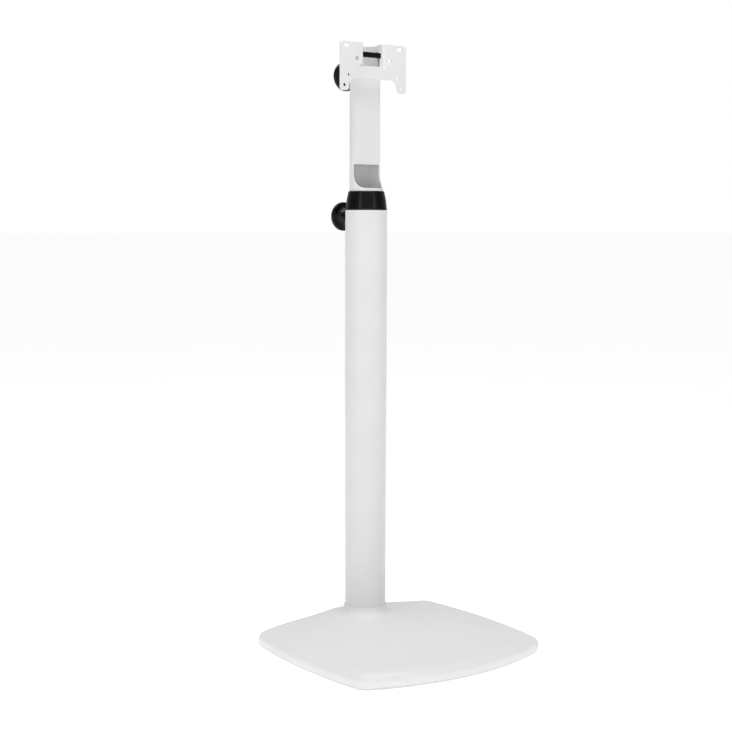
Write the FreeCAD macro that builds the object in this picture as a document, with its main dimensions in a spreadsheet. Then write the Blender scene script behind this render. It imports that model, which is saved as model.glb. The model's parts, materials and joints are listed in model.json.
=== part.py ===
import FreeCAD, Part
import math
import os
from types import SimpleNamespace

import Sketcher
from FreeCAD import Placement, Rotation, Vector

# Height-adjustable floor stand for a customer-facing display.
# Millimetres. Front is -Y, right is +X, up is +Z. The origin is the middle of the base's
# outline on the floor. The column, neck and head share one upright axis behind that middle.

SIZES = {
    # base
    "base_width": 337.0,
    "base_depth": 328.0,
    "front_arc": 376.0,           # radius of the bowed front and rear edges
    "side_arc": 761.0,            # radius of the bowed sides
    "corner_radius": 18.5,
    "cover_gap": 3.0,             # floor to the cover's lower edge
    "cover_wall": 3.0,
    "rim_height": 20.5,
    "rim_drop": 11.0,             # height of the rim's rounding
    "rim_width": 12.0,            # width of the rim's rounding
    "crown_height": 34.0,         # top of the dome, where the flare round the column starts
    "foot_height": 48.5,
    "foot_flare": 18.0,
    "foot_lip": 0.9,              # edge of the cover left round the column
    "cover_fit": 0.3,             # cover to column
    "feet_thickness": 4.0,
    "feet_radius": 14.0,
    "feet_side_inset": 40.5,      # base's outline to the feet's centres
    "feet_end_inset": 60.0,
    "base_plate_thickness": 6.0,
    "base_plate_inset": 6.0,
    "ballast_thickness": 6.0,
    "ballast_inset": 14.0,
    "ballast_clearance": 2.0,     # round the column's flange and the cover's posts
    "cover_screw_radius": 2.0,
    "cover_screw_head": 3.8,
    "cover_screw_head_height": 2.4,
    "cover_screw_length": 12.0,
    "cover_screw_side_inset": 78.5,
    "cover_screw_end_inset": 42.0,
    "cover_boss_radius": 5.5,
    # column
    "column_back": 80.0,          # base middle to the column's axis
    "column_radius": 30.15,
    "column_wall": 2.5,
    "column_top": 625.0,
    "flange_width": 21.85,        # column to the flange's edge
    "flange_thickness": 8.0,
    "flange_screw_radius": 4.0,
    "flange_screw_head": 8.0,
    "flange_screw_offset": 11.85,  # column to the flange screws
    # collar and sliding fits
    "slide_gap": 0.3,
    "push_gap": 0.03,
    "collar_height": 27.0,
    "collar_edge_height": 2.0,
    "collar_step": 0.25,          # column's rim left showing round the collar
    "collar_top_wall": 1.45,
    "collar_top_round": 1.0,
    "collar_bow": 120.0,
    "collar_skirt": 50.0,
    # neck
    "neck_radius": 24.15,
    "neck_wall": 2.0,
    "neck_above_collar": 189.0,
    "height_travel": 350.0,
    "glide_height": 30.0,
    "glide_lip": 2.0,
    "glide_stop_gap": 1.0,        # glide to the collar's skirt at full height
    "rivet_radius": 2.4,
    "rivet_head_radius": 3.8,
    "rivet_clench": 1.0,
    "mouth_above_collar": 4.0,    # collar to the lower cable mouth
    "mouth_height": 34.0,
    "mouth_round": 22.0,
    "front_plate_top_drop": 19.0,
    "front_plate_thickness": 2.0,
    "front_plate_proud": 1.5,     # front plate's face in front of the axis
    "neck_bush_lip": 7.5,
    "neck_bush_overhang": 1.5,
    "neck_bush_front": 3.4,
    "neck_bush_wall": 1.1,
    "neck_bush_skirt": 10.0,
    # head
    "spigot_wall": 2.0,
    "spigot_depth": 78.0,
    "spigot_ear": 8.0,
    "spigot_top_drop": 1.0,
    "head_travel": 40.0,
    "head_rest_gap": 1.0,
    "arm_height": 9.5,
    "arm_back": 1.5,              # arms' rear ends in front of the axis
    "sheet_thickness": 2.0,
    "plate_front": 17.0,          # plate's face in front of the axis
    "plate_half_width": 57.5,
    "plate_corner": 4.0,
    "bend_radius": 4.5,
    "lip_straight": 1.0,          # window lips past their bends
    "window_depth": 32.0,
    "relief_height": 2.7,
    "relief_width": 3.5,
    "relief_return": 2.2,
    "bar_height": 18.0,
    "lobe_width": 15.0,
    "lobe_drop": 7.5,             # outer holes to the lobes' foot
    "lobe_round": 4.5,
    "lobe_neck": 2.0,
    "lobe_slope": 8.0,
    "screw_hole_radius": 2.4,
    "wide_hole_radius": 3.2,
    "slot_length": 10.0,
    "slot_spacing": 92.0,
    "slot_drop": 5.5,
    "middle_spacing": 57.0,
    "middle_drop": 22.5,
    "inner_spacing": 85.0,
    "inner_drop": 45.5,
    "outer_spacing": 100.0,
    "outer_drop": 60.0,
    # clamp knobs, the same at both heights
    "height_knob_drop": 9.0,      # column's top to the knob's axis
    "head_knob_drop": 23.0,       # neck's top to the knob's axis
    "stud_radius": 4.0,
    "thread_gap": 0.05,
    "stud_clearance": 0.6,        # round the stud where it passes through a tube
    "stud_reach": 23.0,           # wall to the stud's outer end
    "pad_radius": 3.6,
    "pad_length": 4.5,
    "boss_radius": 9.0,
    "boss_length": 8.0,
    "knob_start": 9.0,            # wall to the knob's near end
    "knob_stem_radius": 8.5,
    "knob_stem_length": 5.0,
    "knob_radius": 21.0,
    "knob_cove": 11.0,
    "knob_rim": 2.0,
    "knob_rim_height": 24.0,
    "knob_rim_flat": 2.5,
    "knob_dome_height": 9.1,
    "knob_dome_radius": 24.0,
    "knob_crown_radius": 4.0,     # flat in the middle of the dome
}

OVERCUT = 1.0                     # how far a cutting tool reaches past what it cuts
RIM_DEGREES = (0, 19.5, 39, 58.5, 78)      # steps up the rim's rounding
DOME_BLENDS = (0.15, 0.4, 0.7, 1)          # steps from the base's outline to the circle
FLARE_DEGREES = (25, 50, 72, 90)           # steps up the flare round the column
FLANGE_SCREW_DEGREES = (45, 135, 225, 315)


class Length:
    """A number that also knows the spreadsheet formula it comes from."""

    def __init__(self, value, text):
        self.value = value
        self.text = text

    def __add__(self, other):
        other = as_length(other)
        return Length(self.value + other.value, f"({self.text} + {other.text})")

    def __sub__(self, other):
        other = as_length(other)
        return Length(self.value - other.value, f"({self.text} - {other.text})")

    def __mul__(self, factor):
        return Length(self.value * factor, f"({self.text} * {factor})")

    def __radd__(self, other):
        return as_length(other) + self

    def __rsub__(self, other):
        return as_length(other) - self

    def __neg__(self):
        return self * -1.0


def as_length(item):
    return item if isinstance(item, Length) else Length(float(item), f"({float(item)})")


doc = FreeCAD.newDocument("display_stand")
sheet = doc.addObject("Spreadsheet::Sheet", "Sizes")
for row, (alias, number) in enumerate(SIZES.items(), start=1):
    sheet.set(f"A{row}", alias)
    sheet.set(f"B{row}", str(number))
    sheet.setAlias(f"B{row}", alias)
doc.recompute()

S = SimpleNamespace(**{alias: Length(sheet.get(alias), f"Sizes.{alias}") for alias in SIZES})

UP = Rotation()
BACKWARD = Rotation(Vector(1, 0, 0), -90)
SIDEWAYS = Rotation(Vector(0, 1, 0), 90)
nodes = []


# ---------------------------------------------------------------- building blocks

def bind(item, **lengths):
    """Tie properties of an object to the sheet."""
    for prop, length in lengths.items():
        item.setExpression(prop, as_length(length).text)
    return item


def place(item, at, turn=UP):
    """Turn an object, then put it at a point whose coordinates follow the sheet."""
    item.Placement = Placement(Vector(0, 0, 0), turn)
    for letter, length in zip("xyz", at):
        item.setExpression(f"Placement.Base.{letter}", as_length(length).text)
    return item


def cylinder(name, radius, height, at=(0, 0, 0), turn=UP):
    rod = bind(doc.addObject("Part::Cylinder", name), Radius=radius, Height=height)
    return place(rod, at, turn)


def cone(name, low_radius, high_radius, height, at):
    item = doc.addObject("Part::Cone", name)
    return place(bind(item, Radius1=low_radius, Radius2=high_radius, Height=height), at)


def box(name, low, high):
    """A box between two corners."""
    length, width, height = (as_length(far) - near for near, far in zip(low, high))
    item = doc.addObject("Part::Box", name)
    return place(bind(item, Length=length, Width=width, Height=height), low)


def fuse(name, *items):
    item = doc.addObject("Part::MultiFuse", name)
    item.Shapes = list(items)
    return item


def cut(name, base, *tools):
    item = doc.addObject("Part::Cut", name)
    item.Base = base
    item.Tool = tools[0] if len(tools) == 1 else fuse(name + "_tools", *tools)
    return item


def common(name, base, tool):
    item = doc.addObject("Part::Common", name)
    item.Base = base
    item.Tool = tool
    return item


def group(name, items):
    """Separate solids of the same kind in one object."""
    item = doc.addObject("Part::Compound", name)
    item.Links = list(items)
    return item


def tube(name, outer, inner, bottom, top):
    length = as_length(top) - bottom
    outside = cylinder(name + "_outside", outer, length, (0, 0, bottom))
    inside = cylinder(name + "_inside", inner, length, (0, 0, bottom))
    return cut(name, outside, inside)


def node(label, item, shift=(0, 0, 0), turn=UP):
    """Name a finished sub-part and, where it is made on the column's own axis, move it there."""
    item.Label = label
    place(item, shift, turn)
    nodes.append(item)
    return item


def four(across, along):
    """The four places at plus and minus half of two spacings."""
    return [(across * (0.5 * i), along * (0.5 * j)) for i in (-1, 1) for j in (-1, 1)]


# ---------------------------------------------------------------- sketched bodies

def sketch(body, name, plane, height=0):
    """An empty sketch on one of the body's own planes, lifted off it by a height."""
    item = body.newObject("Sketcher::SketchObject", name)
    origin_plane = [f for f in body.Origin.OriginFeatures if f.Role == plane][0]
    item.AttachmentSupport = (origin_plane, "")
    item.MapMode = "FlatFace"
    item.setExpression("AttachmentOffset.Base.z", as_length(height).text)
    return item


def fix(item, edge, end, x, y):
    """Fix one end of an edge at a point that follows the sheet."""
    for kind, axis, length in (("DistanceX", -2, as_length(x)), ("DistanceY", -1, as_length(y))):
        if length.value == 0:
            item.addConstraint(Sketcher.Constraint("PointOnObject", edge, end, axis))
        else:
            rule = Sketcher.Constraint(kind, -1, 1, edge, end, length.value)
            item.setExpression(f"Constraints[{item.addConstraint(rule)}]", length.text)


def arc_edge(start, end, radius):
    """The short arc from start to end. A positive radius has its centre on the left."""
    chord = end - start
    left = Vector(-chord.y, chord.x, 0).normalize()
    rise = math.sqrt(max(radius * radius - chord.Length ** 2 / 4, 0))
    centre = (start + end) * 0.5 + left * math.copysign(rise, radius)
    first, last = (start, end) if radius > 0 else (end, start)
    angles = [math.atan2(p.y - centre.y, p.x - centre.x) for p in (first, last)]
    return Part.ArcOfCircle(Part.Circle(centre, Vector(0, 0, 1), abs(radius)), *angles)


def draw(item, corners):
    """Draw a closed outline. A corner is (x, y), or (x, y, radius) if an arc leads to it."""
    points = [Vector(as_length(c[0]).value, as_length(c[1]).value, 0) for c in corners]
    radii = [as_length(c[2]) if len(c) == 3 else None for c in corners]
    heads = []
    for i, corner in enumerate(corners):
        start, end, radius = points[i - 1], points[i], radii[i]
        if radius is None:
            edge = item.addGeometry(Part.LineSegment(start, end))
        else:
            edge = item.addGeometry(arc_edge(start, end, radius.value))
        forward = radius is None or radius.value > 0
        heads.append((edge, 2, 1) if forward else (edge, 1, 2))
        fix(item, edge, heads[-1][1], corner[0], corner[1])
    for i, (edge, _, tail) in enumerate(heads):
        before, head, _ = heads[i - 1]
        item.addConstraint(Sketcher.Constraint("Coincident", edge, tail, before, head))
        if radii[i] is not None:
            size = radii[i] if radii[i].value > 0 else -radii[i]
            rule = item.addConstraint(Sketcher.Constraint("Radius", edge, size.value))
            item.setExpression(f"Constraints[{rule}]", size.text)


def circle(item, x, y, radius):
    ring = item.addGeometry(Part.Circle(Vector(x.value, y.value, 0), Vector(0, 0, 1), radius.value))
    fix(item, ring, 3, x, y)
    rule = item.addConstraint(Sketcher.Constraint("Radius", ring, radius.value))
    item.setExpression(f"Constraints[{rule}]", radius.text)


def turned(name, corners, plane="XZ_Plane"):
    """A body turned about the upright axis of its sketch."""
    body = doc.addObject("PartDesign::Body", name)
    outline = sketch(body, name + "_outline", plane)
    draw(outline, corners)
    turn = body.newObject("PartDesign::Revolution", name + "_turn")
    turn.Profile = outline
    turn.ReferenceAxis = (outline, ["V_Axis"])
    turn.Angle = 360
    return body


def pad(body, name, outline, thickness, reverse=False):
    item = body.newObject("PartDesign::Pad", name)
    item.Profile = outline
    item.Reversed = reverse
    return bind(item, Length=thickness)


def pocket(body, name, outline):
    """Cut an outline through everything, both ways."""
    item = body.newObject("PartDesign::Pocket", name)
    item.Profile = outline
    item.Type = "ThroughAll"
    item.SideType = "Symmetric"
    return item


# ---------------------------------------------------------------- base

def base_arcs():
    """The base's outline as eight arcs: (centre, radius, first angle, last angle)."""
    front, side, corner = S.front_arc.value, S.side_arc.value, S.corner_radius.value
    rear_centre = Vector(0, S.base_depth.value / 2 - front, 0)
    right_centre = Vector(S.base_width.value / 2 - side, 0, 0)
    span = right_centre - rear_centre
    reach_a, reach_b = front - corner, side - corner
    along = (reach_a ** 2 - reach_b ** 2 + span.Length ** 2) / (2 * span.Length)
    across = math.sqrt(reach_a ** 2 - along ** 2)
    step = Vector(span).normalize()
    centre = rear_centre + step * along + Vector(step.y, -step.x, 0) * across
    rear_angle = math.atan2(centre.y - rear_centre.y, centre.x)
    side_angle = math.atan2(centre.y, centre.x - right_centre.x)
    half = math.pi
    quarter = [(right_centre, side, -side_angle, side_angle),
               (centre, corner, side_angle, rear_angle),
               (rear_centre, front, rear_angle, half - rear_angle),
               (Vector(-centre.x, centre.y, 0), corner, half - rear_angle, half - side_angle)]
    opposite = [(-middle, radius, a + half, b + half) for middle, radius, a, b in quarter]
    return quarter + opposite


def base_section(inset, blend, round_radius, height):
    """The outline moved in by inset and blended towards a circle round the column."""
    hub = Vector(0, S.column_back.value, 0)
    edges = []
    for middle, radius, first, last in base_arcs():
        centre = middle * (1 - blend) + hub * blend
        centre.z = height
        size = (radius - inset) * (1 - blend) + round_radius * blend
        ring = Part.Circle(centre, Vector(0, 0, 1), size)
        edges.append(Part.ArcOfCircle(ring, first, last).toShape())
    return Part.Wire(edges)


def base_slab(inset, bottom, thickness):
    face = Part.Face(base_section(inset, 0, 0, bottom))
    return face.extrude(Vector(0, 0, thickness))


def dome(wall):
    """The solid under the cover's skin, a wall's thickness inside the outer face.

    Up the edge, round the rim by a quarter of an ellipse, along the dome in a straight
    blend to a circle, and up the flare round the column by a quarter of an ellipse.
    """
    rim_base = S.rim_height.value - S.rim_drop.value
    flare_rise = S.foot_height.value - S.crown_height.value
    foot = S.column_radius.value + S.cover_fit.value + S.foot_lip.value
    start = S.cover_gap.value - (OVERCUT if wall else 0)
    wires = [base_section(wall, 0, 0, start)]
    for degrees in RIM_DEGREES:
        angle = math.radians(degrees)
        inset = S.rim_width.value * (1 - math.cos(angle)) + wall * math.cos(angle)
        height = rim_base + (S.rim_drop.value - wall) * math.sin(angle)
        wires.append(base_section(inset, 0, 0, height))
    edge_height = height
    crown_height = S.crown_height.value - wall
    for blend in DOME_BLENDS:
        height = edge_height + (crown_height - edge_height) * blend
        wires.append(base_section(inset, blend, foot + S.foot_flare.value, height))
    for degrees in FLARE_DEGREES:
        angle = math.radians(degrees)
        radius = foot + S.foot_flare.value * (1 - math.sin(angle)) - wall * math.sin(angle)
        height = S.crown_height.value + flare_rise * (1 - math.cos(angle)) - wall * math.cos(angle)
        wires.append(base_section(inset, 1, radius, height))
    return Part.makeLoft(wires, True, False)


def feature(name, shape):
    item = doc.addObject("Part::Feature", name)
    item.Shape = shape
    return item


def build_base():
    plate_bottom = S.feet_thickness
    plate_top = plate_bottom + S.base_plate_thickness
    screw_places = four(S.base_width - S.cover_screw_side_inset * 2,
                        S.base_depth - S.cover_screw_end_inset * 2)
    screw_circle = S.column_radius + S.flange_screw_offset
    flange_places = []
    for degrees in FLANGE_SCREW_DEGREES:
        x = screw_circle * math.cos(math.radians(degrees))
        y = screw_circle * math.sin(math.radians(degrees)) + S.column_back
        flange_places.append((x, y))
    column_hole = S.column_radius + S.cover_fit

    skin = cut("cover_skin", feature("dome_outside", dome(0)),
               feature("dome_inside", dome(S.cover_wall.value)))
    posts = [cylinder(f"cover_post_{i}", S.cover_boss_radius, S.crown_height, (x, y, plate_top))
             for i, (x, y) in enumerate(screw_places)]
    boss_limit = feature("dome_limit", dome(S.cover_wall.value / 2))
    bosses = common("cover_bosses", group("cover_posts", posts), boss_limit)
    pilots = [cylinder(f"cover_pilot_{i}", S.cover_screw_radius, S.cover_screw_length,
                       (x, y, plate_bottom)) for i, (x, y) in enumerate(screw_places)]
    hub_hole = cylinder("cover_hub_hole", column_hole, S.foot_height + OVERCUT, (0, S.column_back, 0))
    node("base_cover", cut("cover", fuse("cover_whole", skin, bosses), hub_hole, *pilots))

    slab = feature("plate_slab", base_slab(S.base_plate_inset.value, plate_bottom.value,
                                           S.base_plate_thickness.value))
    holes = []
    sinks = []
    screws = []
    head_rise = S.flange_screw_head - S.flange_screw_radius
    for i, (x, y) in enumerate(flange_places):
        body_hole = cylinder(f"flange_hole_{i}", S.flange_screw_radius, S.base_plate_thickness,
                             (x, y, plate_bottom))
        sink = cone(f"flange_sink_{i}", S.flange_screw_head, S.flange_screw_radius, head_rise,
                    (x, y, plate_bottom))
        holes += [body_hole, sink]
        head = cone(f"flange_screw_head_{i}", S.flange_screw_head, S.flange_screw_radius,
                    head_rise, (x, y, plate_bottom))
        shank = cylinder(f"flange_screw_shank_{i}", S.flange_screw_radius,
                         S.base_plate_thickness + S.flange_thickness, (x, y, plate_bottom))
        screws.append(fuse(f"flange_screw_{i}", head, shank))
    for i, (x, y) in enumerate(screw_places):
        sinks.append(cylinder(f"cover_screw_hole_{i}", S.cover_screw_radius,
                              S.base_plate_thickness, (x, y, plate_bottom)))
    node("base_plate", cut("plate", slab, *holes, *sinks))
    node("flange_screws", group("flange_screw_set", screws))

    weight = feature("ballast_slab", base_slab(S.ballast_inset.value, plate_top.value,
                                               S.ballast_thickness.value))
    flange_radius = S.column_radius + S.flange_width
    flange_clear = cylinder("ballast_hub_hole", flange_radius + S.ballast_clearance,
                            S.ballast_thickness, (0, S.column_back, plate_top))
    post_clear = [cylinder(f"ballast_hole_{i}", S.cover_boss_radius + S.ballast_clearance,
                           S.ballast_thickness, (x, y, plate_top))
                  for i, (x, y) in enumerate(screw_places)]
    node("ballast_plate", cut("ballast", weight, flange_clear, *post_clear))

    foot_places = four(S.base_width - S.feet_side_inset * 2, S.base_depth - S.feet_end_inset * 2)
    feet = [cylinder(f"foot_{i}", S.feet_radius, S.feet_thickness, (x, y, 0))
            for i, (x, y) in enumerate(foot_places)]
    node("rubber_feet", group("feet", feet))

    cover_screws = []
    for i, (x, y) in enumerate(screw_places):
        head = cylinder(f"cover_screw_head_{i}", S.cover_screw_head, S.cover_screw_head_height,
                        (x, y, plate_bottom - S.cover_screw_head_height))
        shank = cylinder(f"cover_screw_shank_{i}", S.cover_screw_radius, S.cover_screw_length,
                         (x, y, plate_bottom))
        cover_screws.append(fuse(f"cover_screw_{i}", head, shank))
    node("cover_screws", group("cover_screw_set", cover_screws))
    return plate_top, flange_places


# ---------------------------------------------------------------- column and collar

def build_column(plate_top, flange_places):
    hub = (0, S.column_back, 0)
    inside = S.column_radius - S.column_wall
    knob_height = S.column_top - S.height_knob_drop
    flange = tube("flange", S.column_radius + S.flange_width, S.column_radius, plate_top,
                  plate_top + S.flange_thickness)
    taps = [cylinder(f"flange_tap_{i}", S.flange_screw_radius, S.flange_thickness,
                     (x, y - S.column_back, plate_top)) for i, (x, y) in enumerate(flange_places)]
    node("column_flange", cut("drilled_flange", flange, *taps), hub)

    pipe = tube("column", S.column_radius, inside, plate_top, S.column_top)
    stud_hole = cylinder("column_stud_hole", S.stud_radius + S.stud_clearance,
                         S.column_radius, (0, 0, knob_height), BACKWARD)
    node("column_tube", cut("drilled_column", pipe, stud_hole), hub)

    bore = S.neck_radius + S.slide_gap
    collar_top = S.column_top + S.collar_height
    skirt = inside - S.push_gap
    base_radius = S.column_radius - S.collar_step
    top_radius = bore + S.collar_top_wall
    collar = turned("collar_body", [
        (bore, S.column_top - S.collar_skirt),
        (skirt, S.column_top - S.collar_skirt),
        (skirt, S.column_top),
        (base_radius, S.column_top),
        (base_radius, S.column_top + S.collar_edge_height),
        (top_radius, collar_top - S.collar_top_round, S.collar_bow),
        (top_radius - S.collar_top_round, collar_top, S.collar_top_round),
        (bore, collar_top)])
    skirt_hole = cylinder("collar_stud_hole", S.stud_radius + S.stud_clearance,
                          S.column_radius, (0, 0, knob_height), BACKWARD)
    node("collar", cut("drilled_collar", collar, skirt_hole), hub)
    build_clamp("height", S.neck_radius, S.column_radius, knob_height)


def build_clamp(name, clamped, wall, height):
    """Boss, stud, pressure pad and knob on the rear of a tube, along +Y."""
    hub = (0, S.column_back, 0)
    pad_start = clamped + S.slide_gap
    stud_start = pad_start + S.pad_length
    outside = cylinder(f"{name}_boss_blank", S.boss_radius, wall + S.boss_length,
                       (0, 0, height), BACKWARD)
    wall_cut = cylinder(f"{name}_boss_seat", wall, S.boss_radius * 2,
                        (0, 0, height - S.boss_radius))
    thread = cylinder(f"{name}_boss_thread", S.stud_radius + S.thread_gap,
                      wall + S.boss_length, (0, 0, height), BACKWARD)
    node(f"{name}_boss", cut(f"{name}_bored_boss", outside, wall_cut, thread), hub)
    pad_rod = cylinder(f"{name}_pad_rod", S.pad_radius, S.pad_length)
    node(f"{name}_pad", pad_rod, (0, S.column_back + pad_start, height), BACKWARD)
    stud = cylinder(f"{name}_stud_rod", S.stud_radius, wall + S.stud_reach - stud_start)
    node(f"{name}_stud", stud, (0, S.column_back + stud_start, height), BACKWARD)

    rim_base = S.knob_rim_height
    rim_top = rim_base + S.knob_rim + S.knob_rim_flat
    knob = turned(f"{name}_knob_body", [
        (S.stud_radius, S.knob_start),
        (S.knob_stem_radius, S.knob_start),
        (S.knob_stem_radius, S.knob_start + S.knob_stem_length),
        (S.knob_radius - S.knob_rim, rim_base, -S.knob_cove),
        (S.knob_radius, rim_base + S.knob_rim, S.knob_rim),
        (S.knob_radius, rim_top),
        (S.knob_crown_radius, rim_top + S.knob_dome_height, S.knob_dome_radius),
        (0, rim_top + S.knob_dome_height),
        (0, S.stud_reach),
        (S.stud_radius, S.stud_reach)], "XY_Plane")
    node(f"{name}_knob", knob, (0, S.column_back + wall, height))


# ---------------------------------------------------------------- neck

def build_neck():
    hub = (0, S.column_back, 0)
    collar_top = S.column_top + S.collar_height
    top = collar_top + S.neck_above_collar
    glide_top = S.column_top - S.collar_skirt - S.height_travel - S.glide_stop_gap
    bottom = glide_top - S.glide_height
    inside = S.neck_radius - S.neck_wall
    mouth = collar_top + S.mouth_above_collar
    wide = S.neck_radius * 2
    knob_height = top - S.head_knob_drop

    pipe = tube("neck", S.neck_radius, inside, bottom, top)
    front = box("neck_front", (-wide, -wide, mouth), (wide, 0, top + OVERCUT))
    corner = box("mouth_corner", (-wide, -S.mouth_round, mouth), (wide, 0, mouth + S.mouth_round))
    sweep = cylinder("mouth_sweep", S.mouth_round, wide * 2,
                     (-wide, -S.mouth_round, mouth + S.mouth_round), SIDEWAYS)
    opening = cut("mouth_opening", front, cut("mouth_fillet", corner, sweep))
    stud_hole = cylinder("neck_stud_hole", S.stud_radius + S.stud_clearance, S.neck_radius,
                         (0, 0, knob_height), BACKWARD)
    rivet_height = glide_top - S.glide_height * 0.5
    rivet_bar = cylinder("neck_rivet_hole", S.rivet_radius, wide,
                         (-S.neck_radius, 0, rivet_height), SIDEWAYS)
    node("neck_tube", cut("cut_neck", pipe, opening, stud_hole, rivet_bar), hub)

    half_width = inside - S.push_gap
    face = -S.front_plate_proud
    plate = box("neck_plate", (-half_width, face, mouth + S.mouth_height),
                (half_width, face + S.front_plate_thickness, top - S.front_plate_top_drop))
    node("neck_front_plate", plate, (-half_width, S.column_back + face, mouth + S.mouth_height))

    column_inside = S.column_radius - S.column_wall
    runner = column_inside - S.slide_gap
    glide = turned("glide", [
        (inside, bottom - S.glide_lip),
        (runner, bottom - S.glide_lip),
        (runner, glide_top),
        (S.neck_radius, glide_top),
        (S.neck_radius, bottom),
        (inside, bottom)])
    glide_hole = cylinder("glide_rivet_hole", S.rivet_radius, runner * 2,
                          (-runner, 0, rivet_height), SIDEWAYS)
    node("neck_glide", cut("drilled_glide", glide, glide_hole), hub)
    head = S.rivet_head_radius
    clench_start = inside - S.rivet_clench
    rivets = []
    for side, shank_at, head_at in (("left", S.rivet_clench - runner, -inside),
                                    ("right", clench_start, clench_start)):
        shank = cylinder(f"rivet_{side}_shank", S.rivet_radius, runner - inside,
                         (shank_at, 0, rivet_height), SIDEWAYS)
        clench = cylinder(f"rivet_{side}_head", head, S.rivet_clench,
                          (head_at, 0, rivet_height), SIDEWAYS)
        limit = cylinder(f"rivet_{side}_limit", inside, head * 2, (0, 0, rivet_height - head))
        rivets.append(fuse(f"rivet_{side}", shank, common(f"rivet_{side}_clench", clench, limit)))
    node("glide_rivets", group("rivets", rivets), hub)
    build_neck_bush(top, inside)
    build_clamp("head", inside - S.neck_bush_wall - S.slide_gap, S.neck_radius, knob_height)
    return top, inside


def build_neck_bush(top, inside):
    """The black D-shaped ring on the neck's top end, with a half skirt inside the tube."""
    hub = (0, S.column_back, 0)
    bore = inside - S.neck_bush_wall
    lip_radius = S.neck_radius + S.neck_bush_overhang
    wide = lip_radius * 2
    lip_top = top + S.neck_bush_lip
    skirt_bottom = top - S.neck_bush_skirt
    disc = cylinder("bush_disc", lip_radius, S.neck_bush_lip, (0, 0, top))
    disc_keep = box("bush_disc_keep", (-wide, -S.neck_bush_front, top), (wide, wide, lip_top))
    skirt = cylinder("bush_skirt", inside - S.push_gap, S.neck_bush_skirt, (0, 0, skirt_bottom))
    skirt_keep = box("bush_skirt_keep", (-wide, S.slide_gap, skirt_bottom), (wide, wide, top))
    hole = cylinder("bush_hole", bore, S.neck_bush_lip + S.neck_bush_skirt, (0, 0, skirt_bottom))
    hole_keep = box("bush_hole_keep", (-wide, S.slide_gap, skirt_bottom), (wide, wide, lip_top))
    ring = fuse("bush_solid", common("bush_lip", disc, disc_keep),
                common("bush_half_skirt", skirt, skirt_keep))
    node("neck_bush", cut("bush", ring, common("bush_bore", hole, hole_keep)), hub)


# ---------------------------------------------------------------- head

def mirrored(right):
    """An outline's right half, top to bottom, closed by its mirror image."""
    left = []
    for i in range(len(right) - 1, -1, -1):
        x, y = right[i][:2]
        arc = right[i + 1][2:] if i + 1 < len(right) else ()
        left.append((-x, y) + arc)
    return right + left


def build_head(neck_top, neck_inside):
    hub = (0, S.column_back, 0)
    outer = neck_inside - S.neck_bush_wall - S.slide_gap
    inner = outer - S.spigot_wall
    arm_bottom = neck_top + S.neck_bush_lip + S.head_rest_gap
    plate_top = arm_bottom + S.arm_height
    spigot_bottom = neck_top - S.spigot_depth
    spigot_top = plate_top - S.spigot_top_drop
    wide = outer * 2
    split = S.slide_gap * 2

    ring = tube("spigot_ring", outer, inner, spigot_bottom, spigot_top)
    front = box("spigot_front", (-wide, -wide, spigot_bottom), (wide, split, spigot_top))
    ears = [box(f"spigot_ear_{side}", (low, -S.spigot_ear, arm_bottom), (high, split, spigot_top))
            for side, low, high in (("left", -outer, -inner), ("right", inner, outer))]
    node("head_spigot", fuse("spigot", cut("spigot_channel", ring, front), *ears), hub)

    body = doc.addObject("PartDesign::Body", "plate_body")
    edge = inner - S.sheet_thickness + S.bend_radius
    half = S.plate_half_width
    relief_top = plate_top - S.window_depth + S.relief_height * 0.5
    relief_bottom = relief_top - S.relief_height
    window_bottom = plate_top - S.window_depth
    bar_bottom = window_bottom - S.bar_height
    lobe_foot = plate_top - S.outer_drop - S.lobe_drop
    lobe_side = half - S.lobe_width
    outline = sketch(body, "plate_outline", "XZ_Plane", S.plate_front)
    draw(outline, mirrored([
        (edge - S.relief_return, window_bottom),
        (edge - S.relief_return, relief_bottom),
        (edge + S.relief_width, relief_bottom),
        (edge + S.relief_width, relief_top),
        (edge, relief_top),
        (edge, plate_top),
        (half - S.plate_corner, plate_top),
        (half, plate_top - S.plate_corner, -S.plate_corner),
        (half, lobe_foot + S.lobe_round),
        (half - S.lobe_round, lobe_foot, -S.lobe_round),
        (lobe_side + S.lobe_round, lobe_foot),
        (lobe_side, lobe_foot + S.lobe_round, -S.lobe_round),
        (lobe_side, lobe_foot + S.lobe_drop + S.lobe_neck),
        (lobe_side - S.lobe_slope, bar_bottom)]))
    pad(body, "plate_sheet", outline, S.sheet_thickness, True)
    front_face = -S.plate_front
    for name, base, end in (("lip", relief_top, front_face + S.bend_radius + S.lip_straight),
                            ("arm", arm_bottom, -S.arm_back)):
        for side, sign in (("right", 1.0), ("left", -1.0)):
            bend = sketch(body, f"{name}_{side}_outline", "XY_Plane", base)
            outside = (edge - S.bend_radius) * sign
            inside = (edge - S.bend_radius + S.sheet_thickness) * sign
            turn_y = front_face + S.bend_radius
            draw(bend, [
                (edge * sign, front_face + S.sheet_thickness),
                (inside, turn_y, (S.bend_radius - S.sheet_thickness) * -sign),
                (inside, end),
                (outside, end),
                (outside, turn_y),
                (edge * sign, front_face, S.bend_radius * sign)])
            pad(body, f"{name}_{side}", bend, plate_top - base)
    holes = sketch(body, "hole_outline", "XZ_Plane", S.plate_front)
    for sign in (-0.5, 0.5):
        for spacing, drop, radius in (
                (S.middle_spacing, S.middle_drop, S.wide_hole_radius),
                (S.inner_spacing, S.inner_drop, S.screw_hole_radius),
                (S.outer_spacing, S.outer_drop, S.screw_hole_radius)):
            circle(holes, spacing * sign, plate_top - drop, radius)
        slot(holes, S.slot_spacing * sign, plate_top - S.slot_drop)
    pocket(body, "screw_holes", holes)
    node("display_plate", body, hub)


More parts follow.
